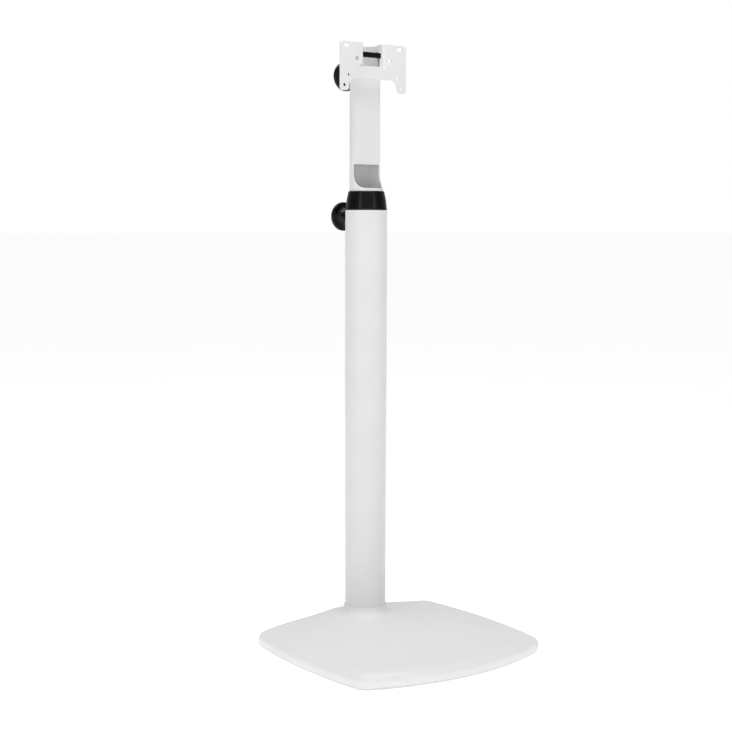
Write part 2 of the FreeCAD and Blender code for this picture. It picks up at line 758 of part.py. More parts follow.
def slot(item, x, y):
    """A level slot, its round ends drawn as quarter circles."""
    radius = S.screw_hole_radius
    straight = S.slot_length * 0.5 - radius
    draw(item, [
        (x + straight, y - radius),
        (x + straight + radius, y, radius),
        (x + straight, y + radius, radius),
        (x - straight, y + radius),
        (x - straight - radius, y, radius),
        (x - straight, y - radius, radius)])


# ---------------------------------------------------------------- build, check and write

base_plate_top, flange_screw_places = build_base()
build_column(base_plate_top, flange_screw_places)
neck_top_height, neck_bore = build_neck()
build_head(neck_top_height, neck_bore)
doc.recompute()

for item in doc.Objects:
    if "Invalid" in item.State or "Error" in item.State:
        raise RuntimeError(f"{item.Name} failed: {item.State}")
for item in nodes:
    if item.Shape.isNull() or not item.Shape.isValid():
        raise RuntimeError(f"{item.Label} has no valid shape")

os.makedirs("parts", exist_ok=True)
for item in nodes:
    item.Shape.exportStep(f"parts/{item.Label}.step")
    limits = item.Shape.BoundBox
    print(f"{item.Label:18s} solids {len(item.Shape.Solids)} volume {item.Shape.Volume:10.0f} "
          f"x {limits.XMin:7.1f} {limits.XMax:7.1f} y {limits.YMin:7.1f} {limits.YMax:7.1f} "
          f"z {limits.ZMin:6.1f} {limits.ZMax:6.1f}")
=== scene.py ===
"""Looks of a height-adjustable floor stand for a customer-facing display.

Each sub-assembly of the stand is a class that works out its own pieces as surfaces and dresses
them. Lengths are in metres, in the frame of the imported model: +Z is up, the display faces -Y, and
the column, the neck and the head share one upright axis behind the middle of the base.
"""

import json
import logging
import math
from abc import ABC, abstractmethod
from dataclasses import dataclass, field
from enum import Enum
from typing import Callable, Sequence

import bmesh
import bpy
import numpy as np
from mathutils import Euler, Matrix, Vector
from mathutils.geometry import delaunay_2d_cdt

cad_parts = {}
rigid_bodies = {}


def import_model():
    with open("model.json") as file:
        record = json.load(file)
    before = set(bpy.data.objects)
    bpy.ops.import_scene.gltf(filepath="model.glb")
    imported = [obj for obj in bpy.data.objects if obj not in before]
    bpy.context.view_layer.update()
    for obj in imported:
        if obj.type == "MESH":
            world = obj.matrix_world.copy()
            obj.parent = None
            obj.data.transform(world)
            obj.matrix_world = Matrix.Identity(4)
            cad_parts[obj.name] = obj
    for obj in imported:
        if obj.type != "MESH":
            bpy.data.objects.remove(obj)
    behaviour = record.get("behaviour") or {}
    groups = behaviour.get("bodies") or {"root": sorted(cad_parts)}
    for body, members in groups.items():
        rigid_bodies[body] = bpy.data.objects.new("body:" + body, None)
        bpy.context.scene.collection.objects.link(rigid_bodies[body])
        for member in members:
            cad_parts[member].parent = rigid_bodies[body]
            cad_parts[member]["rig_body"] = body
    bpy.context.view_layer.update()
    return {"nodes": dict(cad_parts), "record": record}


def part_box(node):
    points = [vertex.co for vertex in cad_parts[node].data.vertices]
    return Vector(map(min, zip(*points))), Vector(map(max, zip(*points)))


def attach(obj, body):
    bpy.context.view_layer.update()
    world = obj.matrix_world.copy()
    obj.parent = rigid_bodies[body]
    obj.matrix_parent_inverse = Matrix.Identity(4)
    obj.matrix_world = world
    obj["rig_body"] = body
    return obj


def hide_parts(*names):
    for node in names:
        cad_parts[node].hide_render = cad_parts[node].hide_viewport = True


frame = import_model()

MM = 0.001
QUARTER = math.pi / 2
WELD = 0.002 * MM  # points closer than this are one
HAIR = 0.001 * MM  # lengths below this count as nothing
LOG = logging.getLogger("stand")

Array = np.ndarray


# ------------------------------------------------------------------ places in the frame

@dataclass(frozen=True)
class Extent:
    """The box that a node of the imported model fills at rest."""

    low: Array
    high: Array

    @classmethod
    def of(cls, node: str) -> "Extent":
        """Read a node's box.

        Args:
            node: The node's name.

        Returns:
            Its box.
        """
        low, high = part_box(node)
        return cls(np.array(low), np.array(high))

    @property
    def size(self) -> Array:
        """Length of each side."""
        return self.high - self.low

    @property
    def middle(self) -> Array:
        """The box's centre."""
        return (self.low + self.high) / 2


AXIS = np.array([0.0, Extent.of("column_tube").middle[1], 0.0])
SLOT_OF = {part["node"]: part["material_slot"] for part in frame["record"]["subparts"]}


# ------------------------------------------------------------------ outlines

@dataclass(frozen=True)
class Corner:
    """A corner of an outline.

    Attributes:
        x: First coordinate.
        y: Second coordinate.
        round: Radius that rounds the corner itself.
        bulge: Radius of an arc that leads here from the corner before, positive where its
            centre is on the left, or 0 for a straight line.
    """

    x: float
    y: float
    round: float = 0.0
    bulge: float = 0.0


def arc_between(start: Array, end: Array, radius: float, step: float = math.radians(6)) -> Array:
    """The short arc between two points.

    The centre lies on the chord's bisector, at the square root of radius squared less half the
    chord squared, and the points are the centre plus the radius turned in equal angles.

    Args:
        start: First point.
        end: Last point.
        radius: Radius, positive where the centre is on the left of the way.
        step: Largest angle between points.

    Returns:
        The points after start, up to end.
    """
    chord = end - start
    left = np.array([-chord[1], chord[0]]) / np.linalg.norm(chord)
    rise = math.sqrt(max(radius ** 2 - chord @ chord / 4, 0.0))
    centre = (start + end) / 2 + left * math.copysign(rise, radius)
    first = math.atan2(*(start - centre)[::-1])
    sweep = 2 * math.asin(min(np.linalg.norm(chord) / (2 * abs(radius)), 1.0))
    sweep = math.copysign(sweep, radius)
    count = max(2, math.ceil(abs(sweep) / step))
    angles = first + sweep * np.arange(1, count + 1) / count
    return centre + abs(radius) * np.stack([np.cos(angles), np.sin(angles)], axis=1)


def rounding(before: Array, corner: Array, after: Array, radius: float,
             step: float = math.radians(18)) -> Array:
    """The arc that rounds a corner between two straight lines.

    It touches both lines at the radius divided by the tangent of half the corner's angle, and
    its points are the two touching radii mixed by the sines of their angles.

    Args:
        before: A point on the line that arrives.
        corner: The corner.
        after: A point on the line that leaves.
        radius: The rounding's radius.
        step: Largest angle between points.

    Returns:
        The arc's points.
    """
    back = (before - corner) / np.linalg.norm(before - corner)
    onward = (after - corner) / np.linalg.norm(after - corner)
    half = math.acos(float(np.clip(back @ onward, -1, 1))) / 2
    centre = corner + (back + onward) / np.linalg.norm(back + onward) * radius / math.sin(half)
    reach = radius / math.tan(half)
    first, last = corner + back * reach - centre, corner + onward * reach - centre
    sweep = math.pi - 2 * half
    share = np.linspace(0, 1, max(3, math.ceil(sweep / step) + 1))[:, None]
    mix = first * np.sin((1 - share) * sweep) + last * np.sin(share * sweep)
    return centre + mix / math.sin(sweep)


def outline(corners: Sequence[Corner], closed: bool = True) -> Array:
    """Join corners by lines and arcs, and round those that ask for it.

    Args:
        corners: The corners in order.
        closed: Whether the last corner leads back to the first.

    Returns:
        Points of the outline, one row each.
    """
    spots = np.array([(corner.x, corner.y) for corner in corners])
    ways = [spots[index, None] for index in range(len(spots))]
    for index, corner in enumerate(corners):
        if corner.bulge and (index or closed):
            ways[index] = arc_between(spots[index - 1], spots[index], corner.bulge)
            ways[index][-1] = spots[index]
    parts = []
    for index, (corner, way) in enumerate(zip(corners, ways)):
        parts.append(way)
        if corner.round:
            before = way[-2] if len(way) > 1 else spots[index - 1]
            after = ways[(index + 1) % len(ways)][0]
            parts[-1:] = [way[:-1], rounding(before, spots[index], after, corner.round)]
    return np.vstack(parts)


def circle(x: float, y: float, radius: float, count: int = 32) -> Array:
    """Equally spaced points round a circle."""
    turn = np.arange(count) * 2 * math.pi / count
    return np.array([x, y]) + radius * np.stack([np.cos(turn), np.sin(turn)], axis=1)


def slot(x: float, y: float, length: float, radius: float) -> Array:
    """Points round a level slot with round ends.

    Args:
        x: First coordinate of its middle.
        y: Second coordinate of its middle.
        length: From end to end.
        radius: Of its ends.

    Returns:
        The points.
    """
    run = length / 2 - radius
    turn = np.linspace(-QUARTER, QUARTER, 13)
    right = np.stack([run + radius * np.cos(turn), radius * np.sin(turn)], axis=1)
    return np.array([x, y]) + np.vstack([right, -right])


# ------------------------------------------------------------------ surfaces

@dataclass(frozen=True)
class Surface:
    """Points and the faces between them.

    Attributes:
        points: One row of three coordinates for each point.
        faces: One row of point numbers for each face.
    """

    points: Array
    faces: Array

    @classmethod
    def grid(cls, points: Array, rows_close: bool, columns_close: bool) -> "Surface":
        """Four-sided faces between neighbours of a grid of points.

        Args:
            points: Rows by columns by three coordinates.
            rows_close: Whether the last row joins the first.
            columns_close: Whether the last column joins the first.

        Returns:
            The surface.
        """
        rows, columns = points.shape[:2]
        row, column = np.meshgrid(np.arange(rows - (not rows_close)),
                                  np.arange(columns - (not columns_close)), indexing="ij")
        above, beside = (row + 1) % rows, (column + 1) % columns
        corners = [row * columns + column, row * columns + beside,
                   above * columns + beside, above * columns + column]
        return cls(points.reshape(-1, 3), np.stack(corners, axis=-1).reshape(-1, 4))

    @classmethod
    def turned(cls, profile: Array, closed: bool, segments: int = 96) -> "Surface":
        """Turn a profile about the Z axis.

        A point is its radius times the cosine and sine of the turn, with its height unchanged.

        Args:
            profile: Rows of radius and height.
            closed: Whether the profile is a ring, or starts and ends on the axis.
            segments: How many steps a full turn takes.

        Returns:
            The surface.
        """
        turn = np.arange(segments) * 2 * math.pi / segments
        radius, height = profile[:, 0, None], profile[:, 1, None]
        points = np.stack([radius * np.cos(turn), radius * np.sin(turn),
                           height + 0 * turn], axis=-1)
        return cls.grid(points, closed, True)

    def moved(self, offset: Sequence[float]) -> "Surface":
        """The same surface at another place."""
        return Surface(self.points + np.asarray(offset), self.faces)

    def laid_back(self) -> "Surface":
        """Turn the surface so that its Z axis points to the rear, along +Y."""
        x, y, z = self.points.T
        return Surface(np.stack([x, z, -y], axis=1), self.faces)

    def at_each(self, places: Array) -> "Surface":
        """One copy of the surface at each place.

        Args:
            places: One row of three coordinates for each copy.

        Returns:
            The copies as one surface.
        """
        count = len(self.points)
        points = (places[:, None] + self.points[None]).reshape(-1, 3)
        faces = self.faces[None] + np.arange(len(places))[:, None, None] * count
        return Surface(points, faces.reshape(-1, self.faces.shape[1]))

    def mesh(self, name: str) -> bpy.types.Mesh:
        """Put the surface into a mesh and weld the points that coincide.

        Args:
            name: The mesh's name.

        Returns:
            The mesh.
        """
        sides = self.faces.shape[1]
        mesh = bpy.data.meshes.new(name)
        mesh.vertices.add(len(self.points))
        mesh.vertices.foreach_set("co", self.points.astype(np.float32).ravel())
        mesh.loops.add(self.faces.size)
        mesh.loops.foreach_set("vertex_index", self.faces.astype(np.int32).ravel())
        mesh.polygons.add(len(self.faces))
        starts = np.arange(0, self.faces.size, sides, dtype=np.int32)
        mesh.polygons.foreach_set("loop_start", starts)
        mesh.update(calc_edges=True)
        shape = bmesh.new()
        shape.from_mesh(mesh)
        bmesh.ops.remove_doubles(shape, verts=shape.verts, dist=WELD)
        shape.to_mesh(mesh)
        shape.free()
        return mesh


def solid(name: str, *surfaces: Surface) -> bpy.types.Object:
    """Make one object of closed surfaces, their faces turned outwards.

    Args:
        name: The object's name.
        surfaces: The closed surfaces.

    Returns:
        The object, in the scene.
    """
    shape = bmesh.new()
    for surface in surfaces:
        part = surface.mesh(name)
        shape.from_mesh(part)
        bpy.data.meshes.remove(part)
    bmesh.ops.recalc_face_normals(shape, faces=shape.faces)
    mesh = bpy.data.meshes.new(name)
    shape.to_mesh(mesh)
    shape.free()
    return shown(name, mesh)


def drill(piece: bpy.types.Object, height: float, radius: float) -> None:
    """Cut a stud's hole through the rear wall of a piece round the column's axis.

    Args:
        piece: The piece, a closed shape.
        height: Height of the hole's middle.
        radius: The hole's radius.
    """
    reach = 60 * MM
    profile = np.array([(0, 0), (radius, 0), (radius, reach), (0, reach)])
    pin = Surface.turned(profile, False, 32).laid_back()
    bit = solid("drill", pin.moved((0, AXIS[1], height)))
    cut = piece.modifiers.new("stud_hole", "BOOLEAN")
    cut.operation, cut.solver, cut.object = "DIFFERENCE", "EXACT", bit
    plain = piece.data
    view = bpy.context.evaluated_depsgraph_get()
    drilled = bpy.data.meshes.new_from_object(piece.evaluated_get(view), depsgraph=view)
    piece.modifiers.clear()
    piece.data = drilled
    for mesh in (plain, bit.data):
        bpy.data.meshes.remove(mesh)


def shown(name: str, mesh: bpy.types.Mesh) -> bpy.types.Object:
    """Put a mesh in the scene, shaded smooth.

    Args:
        name: The object's name.
        mesh: Its mesh.

    Returns:
        The object.
    """
    mesh.shade_smooth()
    piece = bpy.data.objects.new(name, mesh)
    bpy.context.scene.collection.objects.link(piece)
    return piece


def even_shading(piece: bpy.types.Object) -> None:
    """Let the large faces of a piece keep flat shading between their rounded edges."""
    normals = piece.modifiers.new("even_shading", "WEIGHTED_NORMAL")
    normals.keep_sharp = True


@dataclass(frozen=True)
class Sheet:
    """A sheet cut flat, folded or rolled to shape, then given its thickness and soft edges.

    Attributes:
        name: Name of the piece.
        edge: Closed outline of the flat sheet.
        fold: Carries flat points to the frame. The shown face is the one that it returns.
        thickness: Of the sheet, behind the shown face.
        softness: Radius of the cut edges.
        holes: Closed outlines of what is cut out of it.
        creases: Lines that the folds need, each two points.
    """

    name: str
    edge: Array
    fold: Callable[[Array], Array]
    thickness: float
    softness: float
    holes: Sequence[Array] = ()
    creases: Sequence[Array] = ()

    def flat(self) -> Surface:
        """Triangles of the flat sheet, its holes left open.

        A triangle is kept where a ray from its middle crosses the outlines an odd number of
        times.

        Returns:
            The flat surface, at height zero.
        """
        rings = [self.edge, *self.holes]
        points, links = [], []
        for ring in rings:
            start = sum(map(len, points))
            index = np.arange(len(ring))
            links.append(np.stack([index, (index + 1) % len(ring)], axis=1) + start)
            points.append(ring)
        starts = np.vstack(rings)
        ends = np.vstack([np.roll(ring, -1, axis=0) for ring in rings])
        for line in self.creases:
            start = sum(map(len, points))
            links.append(np.array([[start, start + 1]]))
            points.append(line)
        found, _, faces, *_ = delaunay_2d_cdt(np.vstack(points).tolist(),
                                              np.vstack(links).tolist(), [], 0, HAIR / 10)
        spots = np.array(found, dtype=float)
        faces = np.array(faces)
        middle = spots[faces].mean(axis=1)
        low = starts[None, :, 1] > middle[:, None, 1]
        crossing = low != (ends[None, :, 1] > middle[:, None, 1])
        rise = np.where(crossing, ends[None, :, 1] - starts[None, :, 1], 1.0)
        share = (middle[:, None, 1] - starts[None, :, 1]) / rise
        reach = starts[None, :, 0] + share * (ends - starts)[None, :, 0]
        inside = (crossing & (reach > middle[:, None, 0])).sum(axis=1) % 2 == 1
        return Surface(np.column_stack([spots, np.zeros(len(spots))]), faces[inside])

    def build(self) -> bpy.types.Object:
        """Fold the flat sheet, thicken it and soften its edges.

        Returns:
            The piece, in the scene.
        """
        flat = self.flat()
        piece = shown(self.name, Surface(self.fold(flat.points[:, :2]), flat.faces).mesh(self.name))
        thick = piece.modifiers.new("thickness", "SOLIDIFY")
        thick.thickness = self.thickness
        thick.offset = -1
        thick.use_even_offset = True
        soft = piece.modifiers.new("cut_edges", "BEVEL")
        soft.width = self.softness
        soft.segments = 3
        soft.limit_method = "ANGLE"
        soft.angle_limit = math.radians(40)
        even_shading(piece)
        return piece


# ------------------------------------------------------------------ finishes

class Slot(Enum):
    """The material slots of the record."""

    WHITE_STEEL = "white_steel"
    WHITE_SHELL = "white_shell"
    BLACK_PLASTIC = "black_plastic"
    ZINC_STEEL = "zinc_steel"
    RAW_STEEL = "raw_steel"
    NATURAL_NYLON = "natural_nylon"
    BRASS = "brass"
    RUBBER = "rubber"


class Shader:
    """A material's nodes, wired by short calls."""

    def __init__(self, name: str) -> None:
        """Start a material with its main shader and its coordinates.

        Args:
            name: The material's name.
        """
        self.material = bpy.data.materials.new(name)
        self.material.use_nodes = True
        self.tree = self.material.node_tree
        self.surface = self.tree.nodes["Principled BSDF"]
        self.place = self.tree.nodes.new("ShaderNodeTexCoord").outputs["Object"]

    def node(self, kind: str, **settings: object) -> bpy.types.Node:
        """Add a node.

        Args:
            kind: The node's type.
            settings: Attributes of the node.

        Returns:
            The node.
        """
        item = self.tree.nodes.new(kind)
        for key, value in settings.items():
            setattr(item, key, value)
        return item

    def wire(self, source: bpy.types.NodeSocket, target: bpy.types.NodeSocket) -> None:
        """Link two sockets."""
        self.tree.links.new(source, target)

    def stretched(self, scale: Sequence[float]) -> bpy.types.NodeSocket:
        """Coordinates scaled by a factor along each axis.

        Args:
            scale: The factors.

        Returns:
            The coordinates.
        """
        mapping = self.node("ShaderNodeMapping")
        mapping.inputs["Scale"].default_value = scale
        self.wire(self.place, mapping.inputs["Vector"])
        return mapping.outputs["Vector"]

    def noise(self, grain: float, detail: float = 2.0, place: bpy.types.NodeSocket | None = None,
              roughness: float = 0.5) -> bpy.types.NodeSocket:
        """Cloudy noise.

        Args:
            grain: Size of its patches in metres.
            detail: How many finer layers it has.
            place: Coordinates, or the object's own.
            roughness: Strength of the finer layers.

        Returns:
            The noise, from 0 to 1.
        """
        item = self.node("ShaderNodeTexNoise")
        item.inputs["Scale"].default_value = 1 / grain
        item.inputs["Detail"].default_value = detail
        item.inputs["Roughness"].default_value = roughness
        self.wire(place or self.place, item.inputs["Vector"])
        return item.outputs["Fac"]

    def ranged(self, value: bpy.types.NodeSocket, low: float, high: float,
               start: float = 0.0, stop: float = 1.0) -> bpy.types.NodeSocket:
        """Carry a value from one range to another, held at its ends.

        Args:
            value: The value.
            low: What start becomes.
            high: What stop becomes.
            start: Beginning of the range that is read.
            stop: End of the range that is read.

        Returns:
            The new value.
        """
        item = self.node("ShaderNodeMapRange")
        for key, number in (("From Min", start), ("From Max", stop),
                            ("To Min", low), ("To Max", high)):
            item.inputs[key].default_value = number
        self.wire(value, item.inputs["Value"])
        return item.outputs["Result"]

    def mixed(self, share: bpy.types.NodeSocket, first: Sequence[float] | bpy.types.NodeSocket,
              second: Sequence[float] | bpy.types.NodeSocket) -> bpy.types.NodeSocket:
        """Blend two colours, given as numbers or as sockets.

        Args:
            share: Share of the second colour.
            first: The first colour.
            second: The second colour.

        Returns:
            The blend.
        """
        item = self.node("ShaderNodeMix", data_type="RGBA")
        self.wire(share, item.inputs["Factor"])
        for socket, colour in ((item.inputs[6], first), (item.inputs[7], second)):
            if isinstance(colour, bpy.types.NodeSocket):
                self.wire(colour, socket)
            else:
                socket.default_value = (*colour, 1.0)
        return item.outputs[2]

    def summed(self, first: bpy.types.NodeSocket, second: bpy.types.NodeSocket,
               weight: float) -> bpy.types.NodeSocket:
        """The first value plus the second times a weight.

        Args:
            first: The first value.
            second: The second value.
            weight: Its factor.

        Returns:
            The sum.
        """
        item = self.node("ShaderNodeMath", operation="MULTIPLY_ADD")
        self.wire(second, item.inputs[0])
        item.inputs[1].default_value = weight
        self.wire(first, item.inputs[2])
        return item.outputs[0]

    def relief(self, height: bpy.types.NodeSocket, depth: float) -> None:
        """Raise the surface by a height of 0 to 1 times a depth in metres.

        Args:
            height: The height.
            depth: What a height of 1 stands for.
        """
        item = self.node("ShaderNodeBump")
        item.inputs["Distance"].default_value = depth
        self.wire(height, item.inputs["Height"])
        self.wire(item.outputs["Normal"], self.surface.inputs["Normal"])

    def set(self, **values: float | bpy.types.NodeSocket) -> None:
        """Set or wire the main shader's sockets, a space in a name written as an underscore.

        Args:
            values: Numbers, colours or sockets, by the name of the socket that they go to.
        """
        for key, value in values.items():
            socket = self.surface.inputs[key.replace("_", " ")]
            if isinstance(value, bpy.types.NodeSocket):
                self.wire(value, socket)
            else:
                socket.default_value = value


def shade(colour: Sequence[float], factor: float) -> tuple[float, ...]:
    """A colour made lighter or darker by a factor."""
    return tuple(channel * factor for channel in colour)


@dataclass(frozen=True)
class Finish(ABC):
    """How one kind of surface looks."""

    name: str
    colour: tuple[float, float, float]
    roughness: float

    @abstractmethod
    def dress(self, shader: Shader) -> None:
        """Wire the finish into a shader."""

    def material(self) -> bpy.types.Material:
        """The finish's material, made once.

        Returns:
            The material.
        """
        if self.name not in bpy.data.materials:
            shader = Shader(self.name)
            self.dress(shader)
        return bpy.data.materials[self.name]


@dataclass(frozen=True)
class PowderCoat(Finish):
    """Baked powder on steel: a satin skin with a fine orange peel and faint rubbing marks.

    Attributes:
        peel: Width of the orange peel's bumps.
        peel_depth: Their height.
        clouding: How much the colour varies from patch to patch.
    """

    peel: float = 1.3 * MM
    peel_depth: float = 0.014 * MM
    clouding: float = 0.025

    def dress(self, shader: Shader) -> None:
        """Cloud the colour, roughen it in patches, and lay on peel, dust specks and long scuffs.

        Args:
            shader: The shader.
        """
        cloud = shader.noise(60 * MM, 4.0)
        base = shader.mixed(shader.ranged(cloud, 0, 1, 0.35, 0.65),
                            shade(self.colour, 1 - self.clouding), self.colour)
        scuff = shader.noise(1.2 * MM, 3.0, shader.stretched((1.0, 1.0, 0.02)), 0.6)
        scuffed = shader.ranged(scuff, 0, 0.35, 0.64, 0.74)
        speck = shader.ranged(shader.noise(0.9 * MM, 1.0), 0, 0.5, 0.74, 0.80)
        worn = shader.mixed(scuffed, base, shade(self.colour, 0.9))
        shader.set(Base_Color=shader.mixed(speck, worn, shade(self.colour, 0.72)))
        matt = shader.ranged(shader.noise(22 * MM, 3.0), self.roughness - 0.05,
                             self.roughness + 0.06)
        shader.set(Roughness=shader.summed(matt, scuffed, 0.25))
        shader.set(Specular_IOR_Level=0.5, Coat_Weight=0.12, Coat_Roughness=0.3)
        peel = shader.summed(shader.noise(self.peel, 1.5), shader.noise(self.peel * 4, 0.0), 0.7)
        shader.relief(peel, self.peel_depth)


@dataclass(frozen=True)
class Moulding(Finish):
    """Moulded plastic with a fine spark-eroded grain.

    Attributes:
        grain: Width of the grain.
        grain_depth: Height of the grain.
        bloom: Colour of the faint greyish bloom in its hollows.
        haze: How strongly the bloom shows.
        sheen: Strength of its reflections.
    """

    grain: float = 0.45 * MM
    grain_depth: float = 0.006 * MM
    bloom: tuple[float, float, float] = (0.007, 0.007, 0.0075)
    haze: float = 0.35
    sheen: float = 0.24

    def dress(self, shader: Shader) -> None:
        """Mix in the bloom by patches, vary the gloss, and press in the grain.

        Args:
            shader: The shader.
        """
        patches = shader.noise(18 * MM, 5.0, roughness=0.6)
        share = shader.ranged(patches, 0, self.haze, 0.42, 0.72)
        hairline = shader.noise(0.7 * MM, 2.0, shader.stretched((1.0, 0.06, 0.3)), 0.6)
        scratched = shader.ranged(hairline, 0, 0.6, 0.68, 0.76)
        base = shader.mixed(share, self.colour, self.bloom)
        shader.set(Base_Color=shader.mixed(scratched, base, self.bloom))
        gloss = shader.ranged(patches, self.roughness - 0.05, self.roughness + 0.08, 0.3, 0.7)
        shader.set(Roughness=shader.summed(gloss, scratched, 0.2))
        shader.set(Specular_IOR_Level=self.sheen)
        shader.relief(shader.noise(self.grain, 2.0), self.grain_depth)


@dataclass(frozen=True)
class ZincPlate(Finish):
    """Bright zinc plating with its mottled crystals."""

    def dress(self, shader: Shader) -> None:
        """Mottle colour and gloss by cells, and add fine pits.

        Args:
            shader: The shader.
        """
        cells = shader.node("ShaderNodeTexVoronoi")
        cells.inputs["Scale"].default_value = 1 / (1.4 * MM)
        shader.wire(shader.place, cells.inputs["Vector"])
        tone = shader.ranged(cells.outputs["Distance"], 0, 1, 0.1, 0.8)
        shader.set(Base_Color=shader.mixed(tone, self.colour, shade(self.colour, 0.78)))
        shader.set(Roughness=shader.ranged(shader.noise(3 * MM, 4.0), self.roughness - 0.08,
                                           self.roughness + 0.14), Metallic=1.0)
        shader.relief(shader.noise(0.5 * MM, 3.0), 0.01 * MM)


@dataclass(frozen=True)
class MillSteel(Finish):
    """Hot rolled plate with a thin dark primer and rubbed high spots."""

    def dress(self, shader: Shader) -> None:
        """Blend primer and bare scale by patches, with a pitted relief.

        Args:
            shader: The shader.
        """
        patches = shader.noise(35 * MM, 6.0, roughness=0.65)
        fine = shader.noise(1.5 * MM, 4.0)
        bare = shader.ranged(patches, 0, 1, 0.56, 0.66)
        primer = shader.mixed(fine, shade(self.colour, 0.8), shade(self.colour, 1.25))
        shader.set(Base_Color=shader.mixed(bare, primer, (0.2, 0.19, 0.18)))
        shader.set(Roughness=shader.ranged(fine, self.roughness - 0.1, self.roughness + 0.15))
        shader.set(Metallic=shader.ranged(bare, 0.0, 0.7))
        shader.relief(shader.summed(fine, patches, 1.5), 0.05 * MM)


@dataclass(frozen=True)
class Elastomer(Finish):
    """Matt rubber with dust in its pores."""

    def dress(self, shader: Shader) -> None:
        """Dust the colour by fine noise and give it a coarse grain.

        Args:
            shader: The shader.
        """
        pores = shader.noise(0.8 * MM, 3.0)
        dust = shader.ranged(shader.noise(9 * MM, 4.0), 0, 0.7, 0.45, 0.75)
        shader.set(Base_Color=shader.mixed(dust, self.colour, (0.09, 0.088, 0.082)))
        shader.set(Roughness=shader.ranged(pores, self.roughness - 0.1, self.roughness + 0.1))
        shader.relief(pores, 0.04 * MM)


@dataclass(frozen=True)
class Turned(Finish):
    """Metal or nylon with the fine rings of a lathe.

    Attributes:
        metallic: 1 for metal, 0 for nylon.
        pitch: Distance between the rings.
        lay: How strongly the coordinates count along X, Y and Z, in the direction of the rings.
    """

    metallic: float = 1.0
    pitch: float = 0.25 * MM
    lay: tuple[float, float, float] = (0.0, 1.0, 0.0)

    def dress(self, shader: Shader) -> None:
        """Cut rings by stretched noise, and tone the colour by patches.

        Args:
            shader: The shader.
        """
        rings = shader.noise(self.pitch, 2.0, shader.stretched(self.lay))
        patches = shader.noise(4 * MM, 3.0)
        shader.set(Base_Color=shader.mixed(patches, self.colour, shade(self.colour, 0.82)))
        shader.set(Roughness=shader.ranged(rings, self.roughness - 0.08, self.roughness + 0.1))
        shader.set(Metallic=self.metallic)
        shader.relief(rings, 0.012 * MM)


FINISHES: dict[Slot, Finish] = {
    Slot.WHITE_STEEL: PowderCoat("white_powder_coat", (0.75, 0.75, 0.745), 0.42),
    Slot.WHITE_SHELL: PowderCoat("white_moulded_shell", (0.80, 0.80, 0.795), 0.48, 0.8 * MM,
                                 0.008 * MM, 0.02),
    Slot.BLACK_PLASTIC: Moulding("black_moulded_plastic", (0.0022, 0.0022, 0.0025), 0.23),
    Slot.ZINC_STEEL: ZincPlate("zinc_plated_steel", (0.66, 0.66, 0.63), 0.32),
    Slot.RAW_STEEL: MillSteel("primed_steel_plate", (0.055, 0.056, 0.058), 0.55),
    Slot.NATURAL_NYLON: Turned("natural_nylon", (0.72, 0.69, 0.60), 0.45, 0.0, 0.4 * MM,
                               (0.0, 0.0, 1.0)),
    Slot.BRASS: Turned("turned_brass", (0.78, 0.57, 0.24), 0.28),
    Slot.RUBBER: Elastomer("black_rubber", (0.022, 0.022, 0.022), 0.82),
}


def finish_of(node: str) -> bpy.types.Material:
    """The material that the record's slot for a node asks for."""
    return FINISHES[Slot(SLOT_OF[node])].material()


def issue(piece: bpy.types.Object, *nodes: str) -> None:
    """Dress a piece as the nodes that it stands for and hang it on their body.

    Args:
        piece: The finished piece.
        nodes: The nodes that it replaces. The first one gives its body.
    """
    first = nodes[0]
    piece.data.materials.clear()
    piece.data.materials.append(finish_of(first))
    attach(piece, frame["nodes"][first]["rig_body"])
    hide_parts(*nodes)


def keep(*nodes: str) -> None:
    """Give CAD nodes that stay in view their finish.

    Args:
        nodes: The nodes.
    """
    for node in nodes:
        item = frame["nodes"][node]
        item.data.materials.clear()
        item.data.materials.append(finish_of(node))
        LOG.info("%s keeps its own shape", node)


# ------------------------------------------------------------------ base

